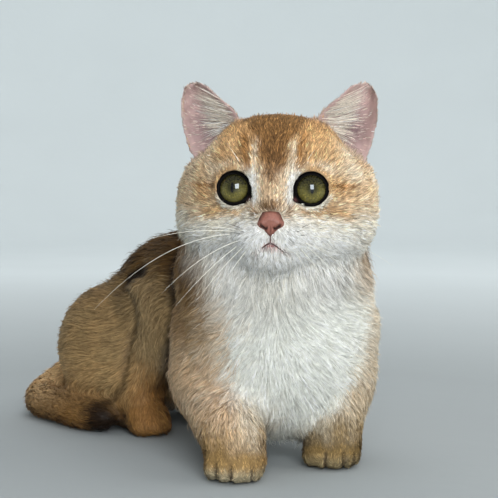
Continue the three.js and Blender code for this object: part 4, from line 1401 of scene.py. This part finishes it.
class BuildNose(bpy.types.Operator):
    """Nose leather with wings, openings and groove, and the line of the mouth with its lips"""

    bl_idname = "kitten.nose"
    bl_label = "Nose and mouth"

    def execute(self, context):
        s = context.scene.kitten_face
        self.leather(s)
        self.mouth(s)
        return {"FINISHED"}

    def leather(self, s):
        """The leather: rings from the middle to the outline and back behind it. The front is a dome that swells at the
        wings; two comma-shaped pits and a groove down the middle are cut into it by bell curves."""
        rows, columns = 40, 120
        row_step, turn_step = 3, 4
        turn = np.arange(columns) / columns * 2 * np.pi
        mid = 15.2
        far = np.empty(columns)
        reach = np.linspace(0, 9, 400)
        for k, t in enumerate(turn):
            inside = in_nose(np.cos(t) * reach, -mid + np.sin(t) * reach)
            far[k] = reach[inside].max()
        far = (np.roll(far, 1) + 2 * far + np.roll(far, -1)) / 4
        shares = np.concatenate([np.linspace(0.03, 1.0, rows), [1.04, 1.02, 0.9, 0.6, 0.2]])
        share_grid = np.repeat(shares[:, None], columns, 1)
        x = share_grid * far * np.cos(turn)
        z = -mid + share_grid * far * np.sin(turn)
        lie = skin_front(x[:rows:row_step, ::turn_step], z[:rows:row_step, ::turn_step])
        rows_at, turns_at = np.arange(rows) / row_step, np.arange(columns) / turn_step
        down = np.minimum(rows_at.astype(int), lie.shape[0] - 2)
        part = np.clip(rows_at - down, 0, 1)[:, None]
        lie = lie[down] * (1 - part) + lie[down + 1] * part
        cut = turns_at.astype(int)
        part = turns_at - cut
        lie = lie[:, cut % lie.shape[1]] * (1 - part) + lie[:, (cut + 1) % lie.shape[1]] * part
        front = np.zeros_like(x)
        front[:rows] = lie - 0.55
        front -= 0.5 * bell(np.hypot(x / 4.4, (z + 12.6) / 3.0), 1.0)
        front -= 0.7 * bell(np.hypot((np.abs(x) - 4.2) / 1.5, (z + 15.4) / 1.7), 1.0)
        curve = np.abs(x) - 2.0
        pit_line = -18.0 + 0.62 * np.maximum(curve, 0) + 0.9 * np.clip(-curve, 0, 2)
        pit = bell((z - pit_line) / (0.45 + 0.09 * np.abs(x)), 1.0)
        pit = pit * ramp(0.9, 1.9, np.abs(x)) * ramp(5.2, 4.0, np.abs(x))
        front += 2.0 * pit
        front += 0.55 * bell(x, 0.35) * ramp(-15.5, -18.5, z)
        front += 0.8 * ramp(0.82, 1.0, share_grid) ** 2
        front[rows:] = front[rows - 1] + np.array([0.5, 1.4, 3.0, 4.0, 4.6])[:, None]
        q = np.stack([x, front, z], -1).reshape(-1, 3)
        caps = np.array([[0, front[0].mean(), -mid], [0, front[-1].mean(), -mid]])
        points = from_head(np.concatenate([q, caps]))
        faces = capped(len(shares), columns)
        skin, rim = np.array(s.leather[:]), np.array(s.leather_edge[:])
        # The leather is painted darker towards its bottom and round its outline, most at the upper sides, as shade on
        # the sides of the dome; the openings and the groove are painted dark, as shade in them.
        rgb = mixed(skin, skin * [0.75, 0.6, 0.58], 0.5 * ramp(-15, -20, q[:, 2]))
        rgb = mixed(rgb, rim * 0.4, 0.9 * np.clip(pit.ravel() * 1.25, 0, 1))
        top = np.maximum(ramp(-16, -13, q[:, 2]) * ramp(1.4, 3.2, np.abs(q[:, 0])), 0.3)
        rgb = mixed(rgb, rim, 0.75 * ramp(0.62, 1.0, share_grid.ravel()) * top)
        rgb = mixed(rgb, rim, 0.5 * bell(q[:, 0], 0.3) * ramp(-17, -19, q[:, 2]))
        rgb = np.concatenate([rgb, [skin, rim]])
        mottle, bump = (1200.0, 4.0, 0.82, 1.15), (2600.0, 2.0, 0.6, 0.0004)
        damp = {"Coat_Weight": 0.06, "Coat_Roughness": 0.35, "Specular_IOR_Level": 0.4}
        mat = painted_material("nose_leather", 0.6, mottle, bump, **damp)
        obj = piece("nose_leather", points, outwards(points, faces), mat)
        paint(obj, rgb)
        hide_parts("nose")

    def mouth(self, s):
        """The line of the mouth: thin tapering rolls along the lips from the groove to each corner, laid on the skin,
        and a wider one for the pink of the lower lip."""
        runs = [(sign * MOUTH_OUT, -MOUTH_DOWN, 0.42, 0.14) for _, sign in SIDES]
        runs.append(([0, 0, 0, 0, 0], [-20.5, -21.4, -22.4, -23.2, -24.2], 0.30, 0.34))
        lower = ([-1.7, -0.9, 0, 0.9, 1.7], [-26.0, -25.6, -25.45, -25.6, -26.0], 0.6, 0.6)
        groups = (
            ("mouth_line", "mouth_line", runs, 0.75, np.array(s.leather_edge[:]) * 1.3),
            ("lower_lip", "lip_skin", [lower], 0.3, np.array(s.lip[:])),
        )
        mottle, bump = (2000.0, 3.0, 0.75, 1.15), (2400.0, 3.0, 0.5, 0.0003)
        t = np.linspace(0, 1, 24)

        def smooth(v):
            return np.concatenate([v[:1], (v[:-2] + v[1:-1] + v[2:]) / 3, v[-1:]])

        for name, skin, lines, proud, rgb in groups:
            paths, radii = [], []
            for xs, zs, start, end in lines:
                x, z = (smooth(np.interp(t, np.linspace(0, 1, 5), places)) for places in (xs, zs))
                paths.append(from_head(np.stack([x, smooth(skin_front(x, z)) - proud, z], 1)))
                radii.append((start + (end - start) * t) * np.sqrt(np.clip(1 - (2 * t - 1) ** 8, 0.02, 1)))
            points, faces = tubes(np.array(paths), np.array(radii), 8)
            mat = painted_material(skin, 0.5, mottle, bump)
            obj = piece(name, points, outwards(points, faces), mat)
            paint(obj, np.tile(rgb, (len(points), 1)))


# ---------------------------------------------------------------------------------------------------------
# Whiskers and ear hair
# Whiskers of one side: place on the pad, out from the middle and up; first direction, out, back and up; length; sag.
WHISKERS = [
    (15.5, -19.5, (1.0, -0.35, 0.10), 44, 0.22),
    (17.5, -21.0, (1.0, -0.25, 0.00), 62, 0.42),
    (14.0, -23.5, (1.0, -0.40, -0.30), 42, 0.30),
    (15.0, -25.5, (0.8, -0.45, -0.55), 36, 0.22),
    (12.5, -26.0, (0.7, -0.50, -0.70), 30, 0.15),
    (12.0, -18.5, (1.0, -0.45, 0.22), 26, 0.15),
    (10.5, -27.5, (0.6, -0.45, -0.80), 17, 0.10),
    (18.0, -24.5, (0.9, -0.30, -0.35), 22, 0.15),
    (14.8, 11.5, (0.6, -0.35, 1.0), 12, 0.10),
]

# Short dark ones over the pads, given in the same way.
SHORT_WHISKERS = [
    (13.0, -18.0, (1.0, -0.9, 0.42), 12.0, 0.02),
    (11.0, -19.6, (1.0, -1.0, 0.35), 8.0, 0.02),
    (12.6, -20.8, (1.0, -0.9, 0.2), 9.0, 0.04),
]

# Hairs of the ears: long ones at the inner edges of the cups, and fine short ones deep in them.
LONG_HAIRS, FINE_HAIRS = 760, 420


class GrowWhiskers(bpy.types.Operator):
    """Long whiskers on the pads and over the eyes, and the pale hairs that sweep across the cups of the ears"""

    bl_idname = "kitten.whiskers"
    bl_label = "Whiskers and ear hair"

    def execute(self, context):
        s = context.scene.kitten_face
        self.whiskers(s)
        self.ear_hair(s)
        return {"FINISHED"}

    def whiskers(self, s):
        """Each whisker is a thin tube that tapers to its tip: it leaves the pad along its own direction and sags by the
        square of the way along."""
        rng = np.random.default_rng(31)
        starts, ways, longs, sags = [], [], [], []
        for x, z, way, long, sag in WHISKERS + SHORT_WHISKERS:
            for sign, part in ((-1, 1.0), (1, 0.62)):
                starts.append((sign * x, z + rng.normal(0, 0.3)))
                ways.append([sign * way[0], way[1], way[2] + rng.normal(0, 0.05)])
                longs.append(long * part * rng.uniform(0.9, 1.1))
                sags.append(sag * rng.uniform(0.8, 1.2))
        starts = np.array(starts)
        y = skin_front(starts[:, 0], starts[:, 1])
        root = from_head(np.stack([starts[:, 0], y + 0.6, starts[:, 1]], 1))
        way = unit(np.array(ways)) @ HEAD_AXES.T
        t = np.linspace(0, 1, 18)
        long, sag = np.array(longs)[:, None, None], np.array(sags)[:, None, None]
        paths = root[:, None] + way[:, None] * t[:, None] * long + DOWN * (sag * long * t[:, None] ** 2)
        paths[..., 0] = np.minimum(paths[..., 0], CAD_BOX[1][0] / MM + 4)
        thick = np.where(np.array(longs) < 16, 0.15, 0.16)[:, None]
        radii = thick * (1 - 0.85 * t)
        points, faces = tubes(paths, radii, 5)
        mat = painted_material("whisker_hair", 0.35, (300.0, 2.0, 0.9, 1.08), Specular_IOR_Level=0.5)
        obj = piece("whiskers", points, faces, mat)
        short = np.arange(len(longs)) >= 2 * len(WHISKERS)
        tone = np.where(short[:, None], context_colour("dark"), np.array(s.whisker[:]))
        paint(obj, np.repeat(tone, len(points) // len(longs), 0))

    def ear_hair(self, s):
        """Pale tufts in the cup: each starts near the inner edge of the ear and sweeps out and up across the cup."""
        centre, q, n, w = middles()
        cup = cup_of_ear(n, w) > 0.4
        edge = ramp(0.35, 0.95, ramp(37, 22, np.abs(q[:, 0]) - 0.25 * (q[:, 2] - 30)))
        outside = centre[(w[:, Z["ear"]] > 0.4) & ~cup]
        deep = np.zeros(len(centre))
        deep[cup] = np.sqrt(np.maximum(nearest_square(centre[cup], outside, 2000), 0))
        rng = np.random.default_rng(77)
        chance = cup * (0.10 + edge) * (deep > 0.8)
        bare = 1.0 * (deep > 2.2)
        draws = ((LONG_HAIRS, chance), (FINE_HAIRS, bare))
        pick = np.concatenate([rng.choice(len(centre), count, p=part / part.sum()) for count, part in draws])
        fine = np.arange(len(pick)) >= LONG_HAIRS
        root = centre[pick] + rng.normal(0, 0.35, (len(pick), 3))
        sign = np.sign(q[pick, 0])
        rise = np.interp(q[pick, 2], [24, 34, 50], [-0.35, 0.10, 0.75]) + rng.normal(0, 0.12, len(pick))
        way = unit(np.stack([sign, np.zeros(len(pick)), rise], 1)) @ HEAD_AXES.T
        normal = n[pick]
        way = unit(way - (way * normal).sum(1, keepdims=True) * normal * 0.9)
        short = rng.uniform(1.5, 3.0, len(pick))
        long = 3.0 + 15.0 * edge[pick] * rng.uniform(0.4, 1.0, len(pick))
        span = np.where(fine, short, long)[:, None]
        steps = 4
        line = [root]
        for k in range(steps):
            lean = 0.42 * (1 - k / steps) + 0.05
            step = way * math.cos(lean) + normal * math.sin(lean) - np.array([0, 0, 0.10]) * k / steps
            line.append(line[-1] + step * span / steps)
        line = np.stack(line, 1)
        flat = unit(np.cross(normal, way))
        wide = rng.uniform(0.14, 0.30, len(pick)) / 2
        taper = [0.8, 1.0, 0.8, 0.55]
        pts, uvs = [], []
        uv = tiled(spherical(root, INNER_HEAD, BACK), 0, 1)
        for k in range(steps):
            for way_out in (1, -1):
                pts.append(line[:, k] + flat * (wide * taper[k] * way_out)[:, None])
                uvs.append(uv + PATCH * np.array([0.5 * way_out, k / steps - 0.5]))
        pts.append(line[:, steps])
        uvs.append(uv + [0, PATCH / 2])
        per = len(pts)
        points, faces = np.stack(pts, 1).reshape(-1, 3), strip_faces(steps, len(pick))
        pale = mixed(context_colour("cream"), np.array(s.ear_skin[:]), np.where(fine, 0.9, 0.25))
        rgb = pale * np.exp(rng.normal(-0.05, 0.34, len(pick)))[:, None]
        obj = piece("ear_hair", points, faces, coat_material("ear_fur", 0.55, 0.1))
        paint(obj, np.repeat(rgb, per, 0))
        unwrap(obj, np.clip(np.stack(uvs, 1).reshape(-1, 2), 0, 1))
        set_normals(obj, np.repeat(unit(normal * 0.8 + [0, -0.3, 0.3]), per, 0))


def context_colour(name):
    """A colour of the coat's settings."""
    return np.array(getattr(bpy.context.scene.kitten_coat, name)[:])


# ---------------------------------------------------------------------------------------------------------
# Stage
class SetStage(bpy.types.Operator):
    """Pale floor and backdrop, soft window light and the camera"""

    bl_idname = "kitten.stage"
    bl_label = "Stage"

    def execute(self, context):
        s = context.scene.kitten_stage
        scene = context.scene
        eyes = middle("eye_left", "eye_right") * MM
        self.backdrop(s)
        cam = bpy.data.cameras.new("camera")
        cam.lens = s.lens
        cam.sensor_width = 36.0
        cam.clip_start = 0.01
        view = bpy.data.objects.new("camera", cam)
        view.location = eyes + np.array(s.camera_from_eyes[:])
        view.rotation_euler = (math.pi / 2 - s.pitch, 0.0, 0.0)
        scene.collection.objects.link(view)
        scene.camera = view
        self.lamp("window", (0.205, -1.03, 0.48), (0.04, -0.06, 0.10), (0.66, 0.84), 9.5, (0.97, 0.985, 1.0))
        # The lamp seen as a highlight stands in front of the window lamp, which would hide it.
        shine = (0.84, 0.93, 1.0)
        self.lamp("highlight", (0.200, -1.000, 0.468), (0.04, -0.06, 0.10), (0.46, 0.66), 19.0, shine, gloss=True)
        self.lamp("side_window", (1.30, -0.05, 0.70), (0.03, -0.02, 0.08), (1.1, 1.1), 9.0, (1.0, 0.99, 0.97))
        self.lamp("wall_light", (0.0, 0.9, 2.0), (0.0, 2.5, 0.35), (2.4, 0.5), 27.0, (0.98, 0.99, 1.0))
        self.lamp("ceiling", (0.1, 0.35, 1.5), (0.0, 0.0, 0.05), (1.6, 1.6), 8.0, (0.97, 0.985, 1.0))
        world = bpy.data.worlds.new("room")
        world.use_nodes = True
        world.node_tree.nodes["Background"].inputs["Color"].default_value = (0.93, 0.97, 1.0, 1.0)
        world.node_tree.nodes["Background"].inputs["Strength"].default_value = 0.36
        scene.world = world
        scene.view_settings.view_transform = "Standard"
        return {"FINISHED"}

    def lamp(self, name, at, to, size, power, light, gloss=False):
        """A soft rectangular lamp that looks at a point. With gloss it is seen only as a highlight, else never so."""
        data = bpy.data.lights.new(name, "AREA")
        data.shape = "RECTANGLE"
        data.size, data.size_y = size
        data.energy = power
        data.color = light
        obj = bpy.data.objects.new(name, data)
        obj.location = at
        obj.rotation_euler = (Vector(to) - Vector(at)).to_track_quat("-Z", "Y").to_euler()
        obj.visible_diffuse, obj.visible_glossy = not gloss, gloss
        bpy.context.scene.collection.objects.link(obj)

    def backdrop(self, s):
        """Floor and backdrop in one bowl: a flat disc whose rim turns up in a quarter circle and ends in a wall."""
        t = np.linspace(0, math.pi / 2, 20)
        r = np.concatenate([[0.001, 300.0, 900.0], 1700 + 800 * np.sin(t), [2500.0]])
        z = np.concatenate([[0.0, 0.0, 0.0], 800 - 800 * np.cos(t), [1500.0]])
        columns = 96
        turn = np.arange(columns) / columns * 2 * np.pi
        rings = [np.outer(r, np.cos(turn)), np.outer(r, np.sin(turn)), np.repeat(z[:, None], columns, 1)]
        points = np.stack(rings, -1).reshape(-1, 3)
        faces = grid_faces(len(r), columns)[:, ::-1]
        mat, tree, shader = material("pale_plaster", 0.85)
        tone = tree.nodes.new("ShaderNodeMix")
        tone.data_type = "RGBA"
        base = np.array(s.floor[:])
        tone.inputs["A"].default_value = (*(base * 0.94), 1.0)
        tone.inputs["B"].default_value = (*base, 1.0)
        tree.links.new(noise(tree, 6.0, 4.0), tone.inputs["Factor"])
        away = tree.nodes.new("ShaderNodeVectorMath")
        away.operation = "LENGTH"
        tree.links.new(tree.nodes.new("ShaderNodeTexCoord").outputs["Object"], away.inputs[0])
        # The floor is painted darker towards the middle, to about half round the kitten, as shade; it has its full
        # colour 1.1 m out and on the backdrop.
        shade = levels(tree, away.outputs["Value"], 0.52, 1.0, 0.25, 1.1)
        tree.links.new(tinted(tree, tone.outputs["Result"], shade), shader.inputs["Base Color"])
        bumped(tree, shader, noise(tree, 60.0, 4.0), 0.12, 0.002)
        mesh = bpy.data.meshes.new("floor")
        mesh.from_pydata((points * MM).tolist(), [], faces.tolist())
        mesh.polygons.foreach_set("use_smooth", np.ones(len(faces), bool))
        mesh.materials.append(mat)
        obj = bpy.data.objects.new("floor", mesh)
        bpy.context.scene.collection.objects.link(obj)


# ---------------------------------------------------------------------------------------------------------
# Panel, registering and the whole build
class KittenPanel(bpy.types.Panel):
    """A button for each group of pieces, and all settings"""

    bl_idname = "VIEW3D_PT_kitten"
    bl_label = "Sitting kitten"
    bl_space_type = "VIEW_3D"
    bl_region_type = "UI"
    bl_category = "Kitten"

    def draw(self, context):
        for operator in OPERATORS:
            self.layout.operator(operator.bl_idname)
        for group in SETTINGS:
            values = getattr(context.scene, group)
            for name in values.bl_rna.properties.keys():
                if name not in ("rna_type", "name"):
                    self.layout.prop(values, name)


OPERATORS = (BuildSkin, GrowCoat, BuildEyes, BuildNose, GrowWhiskers, SetStage)
SETTINGS = {"kitten_coat": CoatSettings, "kitten_face": FaceSettings, "kitten_stage": StageSettings}


def register():
    """Registers the settings, the operators and the panel."""
    for cls in (*SETTINGS.values(), *OPERATORS, KittenPanel):
        bpy.utils.register_class(cls)
    for name, cls in SETTINGS.items():
        setattr(bpy.types.Scene, name, PointerProperty(type=cls))


def unregister():
    """Takes them out again, in the opposite order."""
    for name in SETTINGS:
        delattr(bpy.types.Scene, name)
    for cls in reversed((*SETTINGS.values(), *OPERATORS, KittenPanel)):
        bpy.utils.unregister_class(cls)


def main():
    """Builds the kitten piece by piece."""
    register()
    bpy.ops.kitten.skin()
    bpy.ops.kitten.coat()
    bpy.ops.kitten.eyes()
    bpy.ops.kitten.nose()
    bpy.ops.kitten.whiskers()
    bpy.ops.kitten.stage()


if __name__ == "__main__":
    main()
